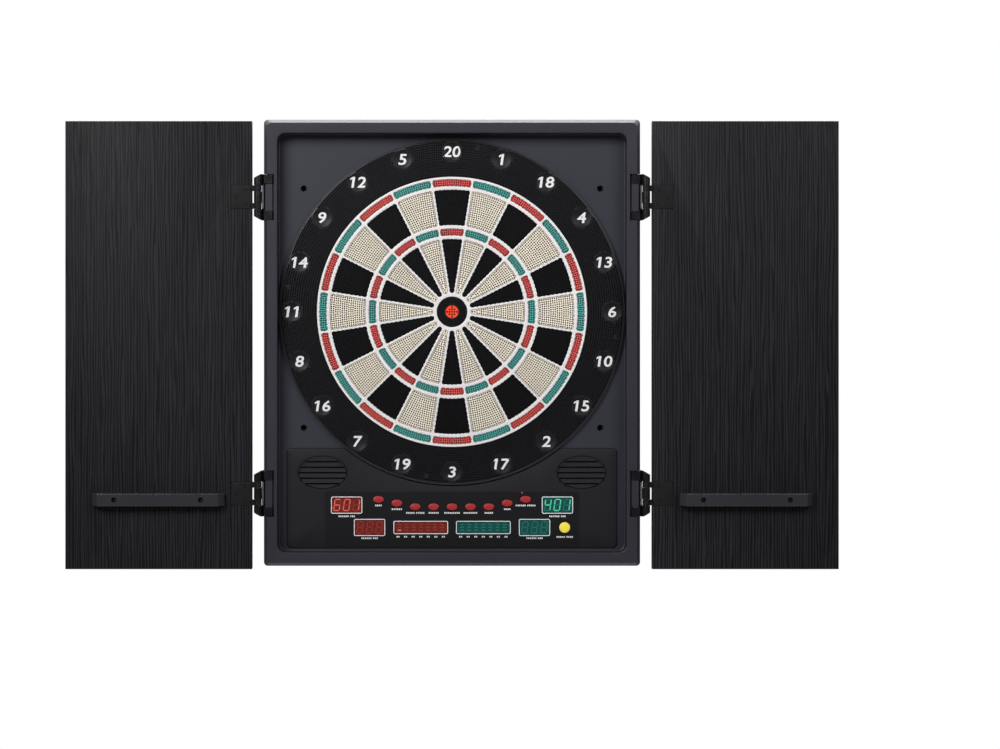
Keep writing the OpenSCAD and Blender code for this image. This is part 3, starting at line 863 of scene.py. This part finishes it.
def front_housing():
    floor_back = PANEL_D - WALL
    section = [(0, 0), (0, RIM_D - RIM_BEVEL), (RIM_BEVEL, RIM_D)]
    section += [(RIM_W - LIP * u, RIM_D - LIP * v) for u, v in quarter_round(8)]
    section += [(RIM_W + FOOT * v, PANEL_D + FOOT * u) for u, v in quarter_round(8)]
    section += [(RIM_W + FOOT, floor_back), (RIM_W - WALL, floor_back), (RIM_W - WALL, RIM_D - RIM_T)]
    section += [(WALL, RIM_D - RIM_T), (WALL, 0)]
    loops = [body_outline(-inset) for inset, _ in section]

    def place(i, inset, depth):
        x, z = loops[section.index((inset, depth))][i]
        return (x, -depth, z)

    rim = Shell().tube(section, len(loops[0]), place)
    rim = rim.piece("housing_rim", "cabinet", HOUSING, 14, "housing_plastic", ["front_housing"])
    half = BRACKET_H / 2 + 0.5
    pocket_x = BODY_W / 2 - ARM_LEN
    arm = (pocket_x - 0.2, BODY_W / 2 + 3, 2)
    slot = (pocket_x - 2.2, pocket_x + 0.3, 4.5)
    for inner, outer, deep in (arm, slot):
        pockets = Shell()
        for sign in (-1, 1):
            for z in HINGE_Z:
                pockets.pocket(sign, inner, outer, z, half, deep)
        cut(rim, pockets, 14)

    inset = RIM_W + FOOT - 0.2
    wall = straight(floor_back, PANEL_D)
    holes = [(disc(RING_HOLE_R, count=160), wall), (console_outline, wall)]
    holes += [(disc(WALL_HEAD_R, at=c, count=32), wall) for c in WALL_HOLES]
    panel = Shell().plate((body_outline, [(floor_back, inset), (PANEL_D, inset)]), holes)
    for x, z in WALL_HOLES:
        bore = [(WALL_SCREW_R, COVER_D), (TUBE_R, COVER_D), (TUBE_R, floor_back)]
        bore += [(WALL_HEAD_R, floor_back), (WALL_HEAD_R, WALL_HEAD_D), (WALL_SCREW_R, WALL_HEAD_D)]
        panel.tube(bore, 32, round_place((x, z), 32))
        # a thin knock-out web keeps the hole shut until its screw goes in
        panel.lathe([(0, 0.3), (WALL_SCREW_R, 0.3), (WALL_SCREW_R, 0.8), (0, 0.8)], (x, 0, z), count=32)
    panel.piece("housing_panel", "cabinet", PANEL, slot="housing_plastic")

    louvre_levels = [(floor_back, 0), (CONSOLE_D - 2.8, 0), (CONSOLE_D, LOUVRE_PITCH - LOUVRE_GAP - 0.4)]
    holes = [(outline, straight(floor_back, CONSOLE_D)) for outline in control_holes()]
    holes += [(outline, louvre_levels) for outline in louvre_slots()]
    console = Shell().plate((console_outline, rounded_edge(floor_back, CONSOLE_D, 1.8, 4)), holes)
    console.piece("console", "cabinet", CONSOLE, 18, "housing_plastic")
    # a flush near-black ring round each grille: painted shade standing for a groove
    lines = Shell()
    for side in (-1, 1):
        at = (side * SPEAKER[0], SPEAKER[1])
        lines.tube(GRILLE_SHADE_RING, 72, round_place(at, 72, (GRILLE_W / 2, GRILLE_H / 2), CONSOLE_D))
    lines.piece("grille_painted_shades", "cabinet", GROOVE_SHADE, 30, "housing_plastic")


def post_places():
    reach_x = BODY_W / 2 - RIM_W / 2
    reach_z = BODY_H / 2 - RIM_W / 2
    heights = (BODY_Z + reach_z, 60, -95, BODY_Z - reach_z)
    sides = [(x, z) for x in (-reach_x, reach_x) for z in heights]
    return sides + [(x, BODY_Z + s * reach_z) for x in (-110, 110) for s in (-1, 1)]


def rear_cover():
    shell = Shell()
    screw_hole = stepped(0, 2.4, 1.6) + [(COVER_D, 0)]
    less = 2 * (WALL + GAP)
    outline = rounded(BODY_W - less, BODY_H - less, CORNER_R - 2, at=(0, BODY_Z))
    holes = [(disc(1.7, at=c, count=24), screw_hole) for c in post_places()]
    mouth = [(0, 0.6), (0.6, 0), (COVER_D, 0)]
    holes += [(disc(WALL_SCREW_R, at=c, count=24), mouth) for c in WALL_HOLES]
    shell.plate((outline, [(0, 0.5), (0.5, 0), (COVER_D, 0)]), holes)
    shell.piece("cover", "cabinet", COVER, slot="cover_plastic", replaces=["rear_cover"])


def finish_cad(node, finish):
    """Keeps a CAD node as it is and gives it a finish."""
    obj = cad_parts[node]
    obj.data.materials.clear()
    obj.data.materials.append(finish)


# ---- target --------------------------------------------------------------------------------


def curved_rows(inner, outer, side, margin=1.35, closest=2.45):
    """Centres of the dart-tip holes in one upright sector, in rows that follow its arcs. A row too
    narrow for two holes has one in its middle."""
    centres = []
    rows = round((outer - inner - 2 * margin) / HOLE_PITCH) + 1
    for j in range(rows):
        r = inner + margin + (outer - inner - 2 * margin) * j / (rows - 1)
        half = SECTOR / 2 - (side + margin) / r
        width = 2 * half * r
        columns = max(0, min(round(width / HOLE_PITCH), int(width / closest)))
        for i in range(columns + 1):
            a = half * (2 * i / columns - 1) if columns else 0
            centres.append(polar(r, a))
    return centres


def tip_holes(centres, radius=TIP_HOLE_R):
    """Holes through a segment, their mouths a little wider, that take a dart's tip."""
    levels = [(SEGMENT_BACK_D, 0), (SEGMENT_FRONT_D - 0.3, 0), (SEGMENT_FRONT_D, 0.12)]
    return [(disc(radius, at=c, count=8), levels) for c in centres]


def target_part(inner, outer):
    """One segment of the upright sector, with its lip at the back and its holes."""
    side = WEB_BAR / 2 + GAP
    outline = sector(inner + GAP, outer - GAP, side)
    centres = curved_rows(inner + GAP, outer - GAP, side)
    levels = stepped(SEGMENT_BACK_D, 1.5, -1.2)
    levels += [(SEGMENT_FRONT_D - 0.15, 0), (SEGMENT_FRONT_D, 0.15)]
    return Shell().plate((outline, levels), tip_holes(centres))


def segments():
    """Twenty numbers, each with two bands (double and triple) and two singles."""
    double, outer_single, triple, inner_single = [target_part(*reach) for reach in REACHES]
    bands = double.add(triple)
    singles = outer_single.add(inner_single)
    dark = (BLACK, "segment_black", RED, "segment_red")
    pale = (CREAM, "segment_cream", TEAL, "segment_teal")
    for i, number in enumerate(NUMBERS):
        single, single_slot, band, band_slot = pale if i % 2 else dark
        body = f"segments_{number}"
        turn = Matrix.Rotation(i * SECTOR, 4, "Y")
        Shell().add(singles, turn).piece(f"singles_{number}", body, single, 30, single_slot, [body])
        Shell().add(bands, turn).piece(f"double_and_triple_{number}", body, band, 30, band_slot)


def bulls():
    """The two bullseyes, their holes on a square grid."""
    steps = [i * BULL_HOLE_PITCH for i in range(-8, 9)]
    near = [(x, z) for x in steps for z in steps]
    edge = [(SEGMENT_FRONT_D - 0.35, 0), (SEGMENT_FRONT_D, 0.35)]
    wall = stepped(SEGMENT_BACK_D, 1.5, -1) + edge
    middle = [c for c in near if math.hypot(*c) < BULL_R - 1.5]
    shell = Shell().plate((disc(BULL_R), wall), tip_holes(middle, BULL_HOLE_R))
    shell.piece("bullseye", "inner_bull", BULL_RED, 30, "segment_red", ["inner_bull"])
    outside = [c for c in near if BULL_R + 2 < math.hypot(*c) < OUTER_BULL_R - GAP - 1.7]
    hollow = stepped(SEGMENT_BACK_D, 3, 1.6) + edge
    holes = [(disc(BULL_R + GAP), hollow)] + tip_holes(outside)
    shell = Shell().plate((disc(OUTER_BULL_R - GAP), wall), holes)
    shell.piece("bull_ring", "outer_bull", BLACK, 30, "segment_black", ["outer_bull"])


def spider():
    """The white web: a disc with a scalloped window for each segment."""
    front = WEB_FRONT_D
    levels = [(WEB_BACK_D, 0), (front - 0.5, 0), (front - 0.15, 0.12), (front, 0.4)]
    windows = []
    for i in range(len(NUMBERS)):
        for a, b in REACHES:
            windows.append((turned(sector(a, b, WEB_BAR / 2, WAVE), i * SECTOR), levels))
    windows.append((disc(OUTER_BULL_R), levels))
    shell = Shell().plate((disc(WEB_R, count=240), levels), windows)
    flange = straight(WEB_BACK_D, WEB_BACK_D + 2.5)
    shell.plate((disc(FLANGE_R, count=160), flange), [(disc(WEB_R - 1, count=160), flange)])
    shell.piece("web", "cabinet", WEB, 35, "web_plastic", ["spider"])


def catch_ring():
    """The black ring: a perforated face, smooth under the number badges and over its screws, in a
    plain bead."""
    inner = WEB_R + GAP
    edge = CATCH_R - BEAD_W
    front = RING_D
    smooth = [(BADGE_PITCH_R, i * SECTOR, BADGE_R + 1.4) for i in range(20)]
    smooth += [(RING_SCREW_R, (2.5 * i + 0.5) * SECTOR, 2.8) for i in range(8)]
    smooth = [(polar(r, a), clear) for r, a, clear in smooth]
    centres = []
    first, last = inner + 2, edge - 2.7
    circles = int((last - first) / HOLE_PITCH)
    for j in range(circles + 1):
        r = first + j * (last - first) / circles
        count = int(FULL_TURN * r / HOLE_PITCH)
        for i in range(count):
            centre = polar(r, FULL_TURN * i / count)
            if all(math.dist(centre, spot) > clear for spot, clear in smooth):
                centres.append(centre)
    outer = [(PANEL_D, 0), (front - 1.2, 0), (front - 0.4, 0.35), (front, 1.2)]
    inside_edge = [(PANEL_D, 0), (front - 0.4, 0), (front, 0.4)]
    levels = [(front, 0), (front - PIT_DEPTH, -0.12)]
    pits = [(disc(PIT_R, at=c, count=6), levels) for c in centres]
    shell = Shell()
    shell.plate((disc(edge, count=240), outer), [(disc(inner, count=240), inside_edge)], pits)
    shell.piece("catch_ring_face", "cabinet", RING, 30, "ring_plastic", ["catch_ring"])
    crown = [(PANEL_D, 0), (front - 1.2, 0), (front - 0.5, 0.25), (front - 0.2, 0.7)]
    bead = Shell().plate((disc(CATCH_R, count=240), crown), [(disc(edge, count=240), inside_edge)])
    bead.piece("catch_ring_bead", "cabinet", BEAD, 30, "ring_plastic")


def number_mesh(text, height, name, at, depth, strokes):
    """An upright bold sloping number, raised a little from its badge. The font's figure one is a
    bare bar, so the stroke at its top goes to strokes."""
    data = bpy.data.curves.new(name, "FONT")
    data.body = text
    data.shear = 0.12
    data.offset = 0.02
    data.align_x = "CENTER"
    data.extrude = 0.5
    data.resolution_u = 6
    source = linked(name, data)
    bpy.context.view_layer.update()
    graph = bpy.context.evaluated_depsgraph_get()
    mesh = bpy.data.meshes.new_from_object(source.evaluated_get(graph))
    bpy.data.objects.remove(source)
    xs = [v.co.x for v in mesh.vertices]
    ys = [v.co.y for v in mesh.vertices]
    bar_top = 0.702
    tops = [v.co.x for v in mesh.vertices if abs(v.co.y - bar_top) < 0.004]
    corners = sorted({round(x, 3) for x in tops})
    bars = [c for c, figure in zip(corners[::2], text) if figure == "1"]
    reach = 0.15
    low, high = min(xs) - (reach / 2 if bars else 0), max(xs)
    scale = height / (max(ys) - min(ys))
    middle = Vector(((low + high) / 2, (max(ys) + min(ys)) / 2, 0))
    back, front = depth - 0.2, depth + 0.12

    def placed(x, y):
        return (at[0] + (x - middle.x) * scale * 1.18, at[1] + (y - middle.y) * scale)

    for v in mesh.vertices:
        x, z = placed(v.co.x, v.co.y)
        v.co = Vector((x, -(front if v.co.z > 0 else back), z)) * MM
    for left in bars:
        stroke = [(left + 0.02, bar_top), (left - reach + 0.01, bar_top - 0.1)]
        stroke += [(left - reach, bar_top - 0.22), (left - 0.01, bar_top - 0.14)]
        strokes.plate((polygon([placed(x, y) for x, y in stroke]), straight(back, front)))
    return linked(name, mesh)


def join(objects, name):
    bpy.ops.object.select_all(action="DESELECT")
    for obj in objects:
        obj.select_set(True)
    bpy.context.view_layer.objects.active = objects[0]
    bpy.ops.object.join()
    joined = bpy.context.view_layer.objects.active
    joined.name = name
    joined.data.name = name
    return joined


def badges():
    shell = Shell()
    digits = []
    strokes = Shell()
    front = BADGE_D
    floor = front - 0.7
    levels = [(RING_D, 0), (front - 0.15, 0), (front, 0.15), (front, 0.5), (floor, 2.1)]
    for i, number in enumerate(NUMBERS):
        at = polar(BADGE_PITCH_R, i * SECTOR)
        shell.plate((disc(BADGE_R, at=at, count=48), levels))
        name = f"number_{number}"
        digits.append(number_mesh(str(number), NUMBER_H, name, at, floor + 0.1, strokes))
    shell.piece("badges", "cabinet", BADGE, 30, "badge_plastic", ["number_badges"])
    numbers = join(digits + [strokes.loose("strokes")], "numbers")
    dress(numbers, "cabinet", WHITE_INK, 30, "badge_plastic")


# ---- controls ------------------------------------------------------------------------------


def overlay():
    shell = Shell()
    w, h = OVERLAY_HIGH.x - OVERLAY_LOW.x, OVERLAY_HIGH.z - OVERLAY_LOW.z
    wall = straight(CONSOLE_D, OVERLAY_D)
    outline = rounded(w, h, 3, at=(0, (OVERLAY_LOW.z + OVERLAY_HIGH.z) / 2))
    shell.plate((outline, wall), [(o, wall) for o in control_holes()])
    shell.piece("overlay", "cabinet", OVERLAY, 30, "overlay_print", ["control_overlay"])


def printing():
    """White outlines round the windows and generic marks where a label would stand."""
    shell = Shell()
    ink = straight(OVERLAY_D - 0.02, OVERLAY_D + 0.04)
    outside, inside_edge = [(d, -0.2) for d, _ in ink], [(d, -0.8) for d, _ in ink]
    for border in window_outlines(-1) + window_outlines(1):
        shell.plate((border, outside), [(border, inside_edge)])

    def label(x, z, words):
        """A row of upright ticks in groups, standing for a label of words."""
        pitch, space = 2.25, 1.3
        total = sum(words) * pitch + space * (len(words) - 1)
        left = x - total / 2
        for count in words:
            for k in range(count):
                shell.plate((rounded(1.5, 2.1, 0.3, at=(left + (k + 0.5) * pitch, z), count=2), ink))
            left += count * pitch + space

    below = 3.4
    key_words = [[4], [6], [5, 5], [6], [9], [8], [5], [4], [6, 5]]
    for (x, z), words in zip(key_centres(), key_words):
        label(x, z - KEY_H / 2 - below, words)
    for side in (-1, 1):
        label(side * UPPER_SCORE[0], UPPER_SCORE[1] - SCORE_H / 2 - 3.6, [6, 3])
        label(side * LOWER_SCORE[0], LOWER_SCORE[1] - SCORE_H / 2 - 3.0, [6, 3])
        for k in range(7):
            label(side * MARKS[0] + (k - 3) * MARKS_W / 7.2, MARKS[1] - MARKS_H / 2 - 3.6, [2])
    label(START_X, LOWER_ROW_Z - START_R - 5.2, [5, 4])
    shell.piece("printed_marks", "cabinet", PRINT, 30, "overlay_print")


SEVEN = {"6": "acdefg", "0": "abcdef", "1": "bc", "4": "bcfg", " ": ""}


def digit_bars(at):
    """The seven bars of one sloping digit: name to outline, each a slim hexagon."""
    t = DIGIT_W * 0.2
    x, z = DIGIT_W / 2, DIGIT_H / 2
    lean = 0.14

    def bar(start, end):
        low, high = Vector((start[0] * x, start[1] * z)), Vector((end[0] * x, end[1] * z))
        along = (high - low).normalized()
        across = Vector((-along.y, along.x)) * t / 2
        a, b = low + along * 0.25, high - along * 0.25
        in_a, in_b = a + along * t / 2, b - along * t / 2
        ring = [a, in_a - across, in_b - across, b, in_b + across, in_a + across]
        return polygon([(at[0] + p.x + p.y * lean, at[1] + p.y) for p in ring])

    ends = {
        "a": ((-1, 1), (1, 1)),
        "b": ((1, 0), (1, 1)),
        "c": ((1, -1), (1, 0)),
        "d": ((-1, -1), (1, -1)),
        "e": ((-1, -1), (-1, 0)),
        "f": ((-1, 0), (-1, 1)),
        "g": ((-1, 0), (1, 0)),
    }
    return {name: bar(*reach) for name, reach in ends.items()}


def displays():
    """Lit blocks with seven-bar digits and mark counters, behind tinted windows. The unlit bars, marks
    and lamp glow faintly: a painted glow.
    """
    for side, colour, back, lit, unlit_glow, window, text in (
        (-1, "red", RED_BACK, RED_LIT, RED_UNLIT_GLOW, RED_WINDOW, "601"),
        (1, "green", GREEN_BACK, GREEN_LIT, GREEN_UNLIT_GLOW, GREEN_WINDOW, "401"),
    ):
        node = f"{colour}_displays"
        slot = f"{colour}_display"
        low = node_depths(node)[0]
        face = PANEL_D - 1.3
        blocks, bright, faint, panes = Shell(), Shell(), Shell(), Shell()
        mark = straight(face - 0.02, face + 0.12)
        for w, h, (x, z) in WINDOWS:
            x *= side
            blocks.block((x - w / 2 + 1, -face, z - h / 2 + 1), (x + w / 2 - 1, -low, z + h / 2 - 1))
        for (x, z), shown in ((UPPER_SCORE, text), (LOWER_SCORE, "   ")):
            for k, character in enumerate(shown):
                for bar, outline in digit_bars((side * x + (k - 1) * DIGIT_PITCH, z)).items():
                    target = bright if bar in SEVEN[character] else faint
                    target.plate((outline, mark))
        x, z = side * MARKS[0], MARKS[1]
        for k in range(7):
            for j in (-1, 0, 1):
                at = (x + (k - 3) * (MARKS_W - 6) / 7, z + j * 3.7)
                lit_mark = side < 0 and k == 0 and j == -1
                (bright if lit_mark else faint).plate((rounded(5, 1.7, 0.3, at=at, count=2), mark))
        if side < 0:
            lamp = [(0, OVERLAY_D + 0.4), (0.6, OVERLAY_D + 0.25), (LAMP_R, OVERLAY_D)]
            lamp += [(LAMP_R, low), (0, low)]
            faint.lathe(lamp, (LAMP[0], 0, LAMP[1]), count=16)
        blocks.piece(f"{colour}_blocks", "cabinet", back, 30, slot, [node])
        bright.piece(f"{colour}_lit_bars", "cabinet", lit, 30, slot)
        # unlit bars, marks and the lamp: a faint painted glow
        faint.piece(f"{colour}_unlit_bars_painted_glow", "cabinet", unlit_glow, 30, slot)
        edge = [(PANEL_D - 1, 0.05), (OVERLAY_D - 0.3, 0.05), (OVERLAY_D - 0.05, 0.3)]
        for outline in window_outlines(side):
            panes.plate((outline, edge))
        slot = f"{colour}_window"
        panes.piece(f"{colour}_panes", "cabinet", window, 30, slot, [f"{colour}_windows"])


def crowned(w, h, at, crown):
    """A key: a flange at the back, a straight skirt, then a domed top."""
    levels = stepped(KEY_BACK_D, 1.5, -1.5)
    reach = min(w, h) / 2 * 0.985
    levels += [(KEY_FRONT_D - crown * u, reach * v**1.6) for u, v in quarter_round(8)]
    return Shell().plate((oval(w, h, at=at, count=64), levels))


def buttons():
    for name, centre in zip(KEYS, key_centres()):
        body = f"key_{name}"
        key = crowned(KEY_W, KEY_H, centre, 1.5)
        key.piece(f"{name}_button", body, KEY_RED, 50, "key_red", [body])
    start = crowned(2 * START_R, 2 * START_R, (START_X, LOWER_ROW_Z), 1.3)
    start.piece("start_dome", "start_button", START, 50, "start_yellow", ["start_button"])


# ---- hinges, doors and holders ---------------------------------------------------------------


def upright(points, z_low, z_high, edge=0.4, holes=()):
    """A plan seen from above, points (x, depth), stood up between two heights. Its edges are
    chamfered, and holes are outlines that go right through it."""
    levels = chamfered(z_low, z_high, edge)
    plan = Shell().plate((polygon(points), levels), [(outline, levels) for outline in holes])
    return Shell().add(plan, Matrix(((1, 0, 0, 0), (0, 0, -1, 0), (0, -1, 0, 0), (0, 0, 0, 1))))


def screw(shell, at, depth):
    """A screw head with a cross recess, seen from the front."""
    crown = 0.05
    a, b = SCREW_R * 0.2, SCREW_R * 0.62

    def cross(grow):
        points = [(a + grow, a + grow), (a + grow, b + grow), (-a - grow, b + grow)]
        for _ in range(3):
            points += [(-z, x) for x, z in points[-3:]]
        return [(at[0] + x, at[1] + z) for x, z in points]

    levels = [(depth - 1, 0), (depth, 0), (depth + crown * 0.6, SCREW_R * 0.15)]
    levels.append((depth + crown, SCREW_R * 0.34))
    recess = [(depth + crown, 0), (depth - 0.35, -a * 0.5)]
    shell.plate((disc(SCREW_R, at=at, count=24), levels), pits=[(cross, recess)])


def bracket():
    """The right-hand bracket about its own mid height: side plate, knuckles and arms."""
    shell = Shell()
    side, half = BODY_W / 2, BRACKET_H / 2
    out = PIN_X + EAR_R
    shell.block((side, -RIM_D, -half), (side + BRACKET_T, -BRACKET_BACK_D, half), 0.4)
    profile = [(side, EAR_BACK_D), (out, EAR_BACK_D)]
    profile += arc(PIN_X, PIN_D, EAR_R, 0, HALF_TURN, 24)
    profile += [(side + BRACKET_T, RIM_D), (side, RIM_D)]
    inner = KNUCKLE_Z + KNUCKLE_H / 2 + GAP
    middle = KNUCKLE_Z - KNUCKLE_H / 2 - GAP
    for low, high in ((EAR_SLOPE - half, -inner), (-middle, middle), (inner, half - EAR_SLOPE)):
        shell.add(upright(profile, low, high, 0.3))
    steps = 8
    for k in range(steps):
        near = half - EAR_SLOPE * (1 - k / steps)
        far = half - EAR_SLOPE * (1 - (k + 1) / steps)
        reach = out - (out - side - 3.5) * (k + 0.5) / steps
        narrow = [(min(x, reach), d) for x, d in profile]
        # points inside a straight run would leave seams in the caps
        trios = zip(narrow[-1:] + narrow, narrow, narrow[1:] + narrow[:1])
        narrow = [point for a, point, b in trios if not a[0] == point[0] == b[0]]
        shell.add(upright(narrow, near, far, 0.01))
        shell.add(upright(narrow, -far, -near, 0.01))
    for low, high in ((inner + 2, half), (-half, -inner - 2)):
        shell.block((side - ARM_LEN, -RIM_D, low), (side + 1, -RIM_D + 2, high), 0.4)
    return shell


def hinges():
    """Both sides' brackets with their pins, and pale strips along the front edges of the brackets' side
    plates: a painted highlight.
    """
    brackets, pins, edges = Shell(), Shell(), Shell()
    side = BODY_W / 2
    half = (PIN_HIGH.z - PIN_LOW.z - (HINGE_Z[0] - HINGE_Z[1])) / 2
    pin = [(0, -half), (1.6, -half), (2, 0.4 - half), (2, half - 0.4), (1.6, half), (0, half)]
    # a pale strip on the front edge of each side plate, between the arms: a painted highlight
    low = (side + 0.3, -RIM_D - 0.05, -14.5)
    highlight_strip = Shell().block(low, (side + BRACKET_T - 0.2, -RIM_D + 1, 14.5), 0.2)
    for sign in (-1, 1):
        for z in HINGE_Z:
            place = Matrix.Translation((0, 0, z)) @ mirrored(sign)
            brackets.add(bracket(), place)
            edges.add(highlight_strip, place)
            pins.lathe(pin, (sign * PIN_X, -PIN_D, z), axis="z", count=20)
    brackets.piece("brackets", "cabinet", HINGE, 30, "hinge_black", ["hinge_brackets"])
    edges.piece("bracket_painted_highlights", "cabinet", EDGE_HIGHLIGHT, 30, "hinge_black")
    pins.piece("pins", "cabinet", PIN, 30, "pin_steel", ["hinge_pins"])


def door(side, sign):
    body = f"{side}_door"
    low, high = DOOR_LOW, DOOR_HIGH
    w, h = high.x - low.x, high.z - low.z
    middle = ((high.x + low.x) / 2, (high.z + low.z) / 2)
    outline = rounded(w, h, 0.6, at=middle, count=3)
    levels = [(-high.y, 0.4), (-high.y + 0.12, 0.12), (-high.y + 0.4, 0)]
    levels += [(-low.y - 0.4, 0), (-low.y - 0.12, 0.12), (-low.y, 0.4)]
    panel = Shell().add(Shell().plate((outline, levels)), mirrored(sign))
    obj = panel.piece(f"{side}_panel", body, DOOR, 35, "door_wood", [f"{side}_door"])
    pockets = Shell()
    for z in HINGE_Z:
        pockets.pocket(sign, low.x - 1, low.x + LEAF_W + GAP, z, LEAF_H / 2 + GAP, 1.6)
    cut(obj, pockets)

    leaves, screws = Shell(), Shell()
    leaf_back, leaf_front = RIM_D - 1.6, RIM_D + 0.4
    spots = [(8, 9), (8, -9), (19.5, 0)]
    for z in HINGE_Z:
        sink = [(leaf_back, 0), (leaf_front - 1.8, 0), (leaf_front, 1.6)]
        holes = [(disc(1.5, at=(low.x + x, z + dz), count=24), sink) for x, dz in spots]
        leaf = rounded(LEAF_W, LEAF_H, 3, at=(low.x + LEAF_W / 2, z))
        leaves.plate((leaf, rounded_edge(leaf_back, leaf_front, 0.5)), holes)
        for s in (-1, 1):
            base = z + s * KNUCKLE_Z - KNUCKLE_H / 2
            top = base + KNUCKLE_H
            leaves.block((PIN_X, -leaf_front, base), (low.x + 2, -leaf_back, top), 0.4)
            barrel = [(KNUCKLE_R - eaten, height) for height, eaten in chamfered(base, top, 0.4)]
            knuckle = [(2.05, base)] + barrel
            leaves.tube(knuckle + [(2.05, top)], 32, knuckle_place)
        for x, dz in spots:
            screw(screws, (low.x + x, z + dz), leaf_front - 0.25)
    for s in (-1, 1):
        screw(screws, (HOLDER_X + s * HOLDER_SCREW_X, HOLDER_Z), RIM_D + 2.75)
    for shell, name, node in ((leaves, "leaves", "hinge_leaves"), (screws, "screws", "door_screws")):
        shell = Shell().add(shell, mirrored(sign))
        shell.piece(f"{side}_{name}", body, LEAF, 30, "hinge_black", [f"{side}_{node}"])


def knuckle_place(i, r, z):
    a = FULL_TURN * i / 32
    return (PIN_X + r * math.cos(a), -PIN_D + r * math.sin(a), z)


def dart_holder(side, sign):
    """A moulded bar whose ends slope back, with three holes down through it for darts and two
    wells for its screws."""
    half = (HOLDER_HIGH.x - HOLDER_LOW.x) / 2
    centre = HOLDER_X
    depth = -HOLDER_LOW.y
    knee = (RIM_D + depth) / 2
    plan = [(-half, RIM_D), (half, RIM_D), (half, knee), (half - HOLDER_TAPER, depth)]
    plan += [(HOLDER_TAPER - half, depth), (-half, knee)]
    plan = [(x + centre, d) for x, d in softened(plan, 1.2)]
    holes = [disc(DART_HOLE_R, at=(centre + i * DART_PITCH, DART_D), count=40) for i in (-1, 0, 1)]
    bar = Shell().add(upright(plan, HOLDER_LOW.z, HOLDER_HIGH.z, 0.7, holes), mirrored(sign))
    body, node = f"{side}_door", f"{side}_dart_holder"
    obj = bar.piece(f"{side}_holder", body, HOLDER, 30, "holder_plastic", [node])
    wells = Shell()
    for s in (-1, 1):
        well = [(0, depth - 5), (2.1, depth - 5), (2.1, depth - 8), (3.2, depth - 8)]
        well += [(3.2, depth - 0.3), (3.8, depth + 0.6), (0, depth + 0.6)]
        wells.lathe(well, (sign * (centre + s * HOLDER_SCREW_X), 0, HOLDER_Z), count=32)
    cut(obj, wells)


def cad_pieces():
    """What lies inside, the power inlet and the plain pan-head screws stay as in the CAD."""
    for node, finish in (
        ("rubber_mat", RUBBER),
        ("contact_film", FILM),
        ("backing_board", HARDBOARD),
        ("main_board", BOARD),
        ("key_pad", PAD),
        ("speakers", CONE),
        ("power_jack", JACK),
        ("case_screws", SCREW),
    ):
        finish_cad(node, finish)


studio()
front_housing()
rear_cover()
catch_ring()
badges()
spider()
segments()
bulls()
overlay()
printing()
displays()
buttons()
hinges()
for side, sign in (("left", -1), ("right", 1)):
    door(side, sign)
    dart_holder(side, sign)
cad_pieces()
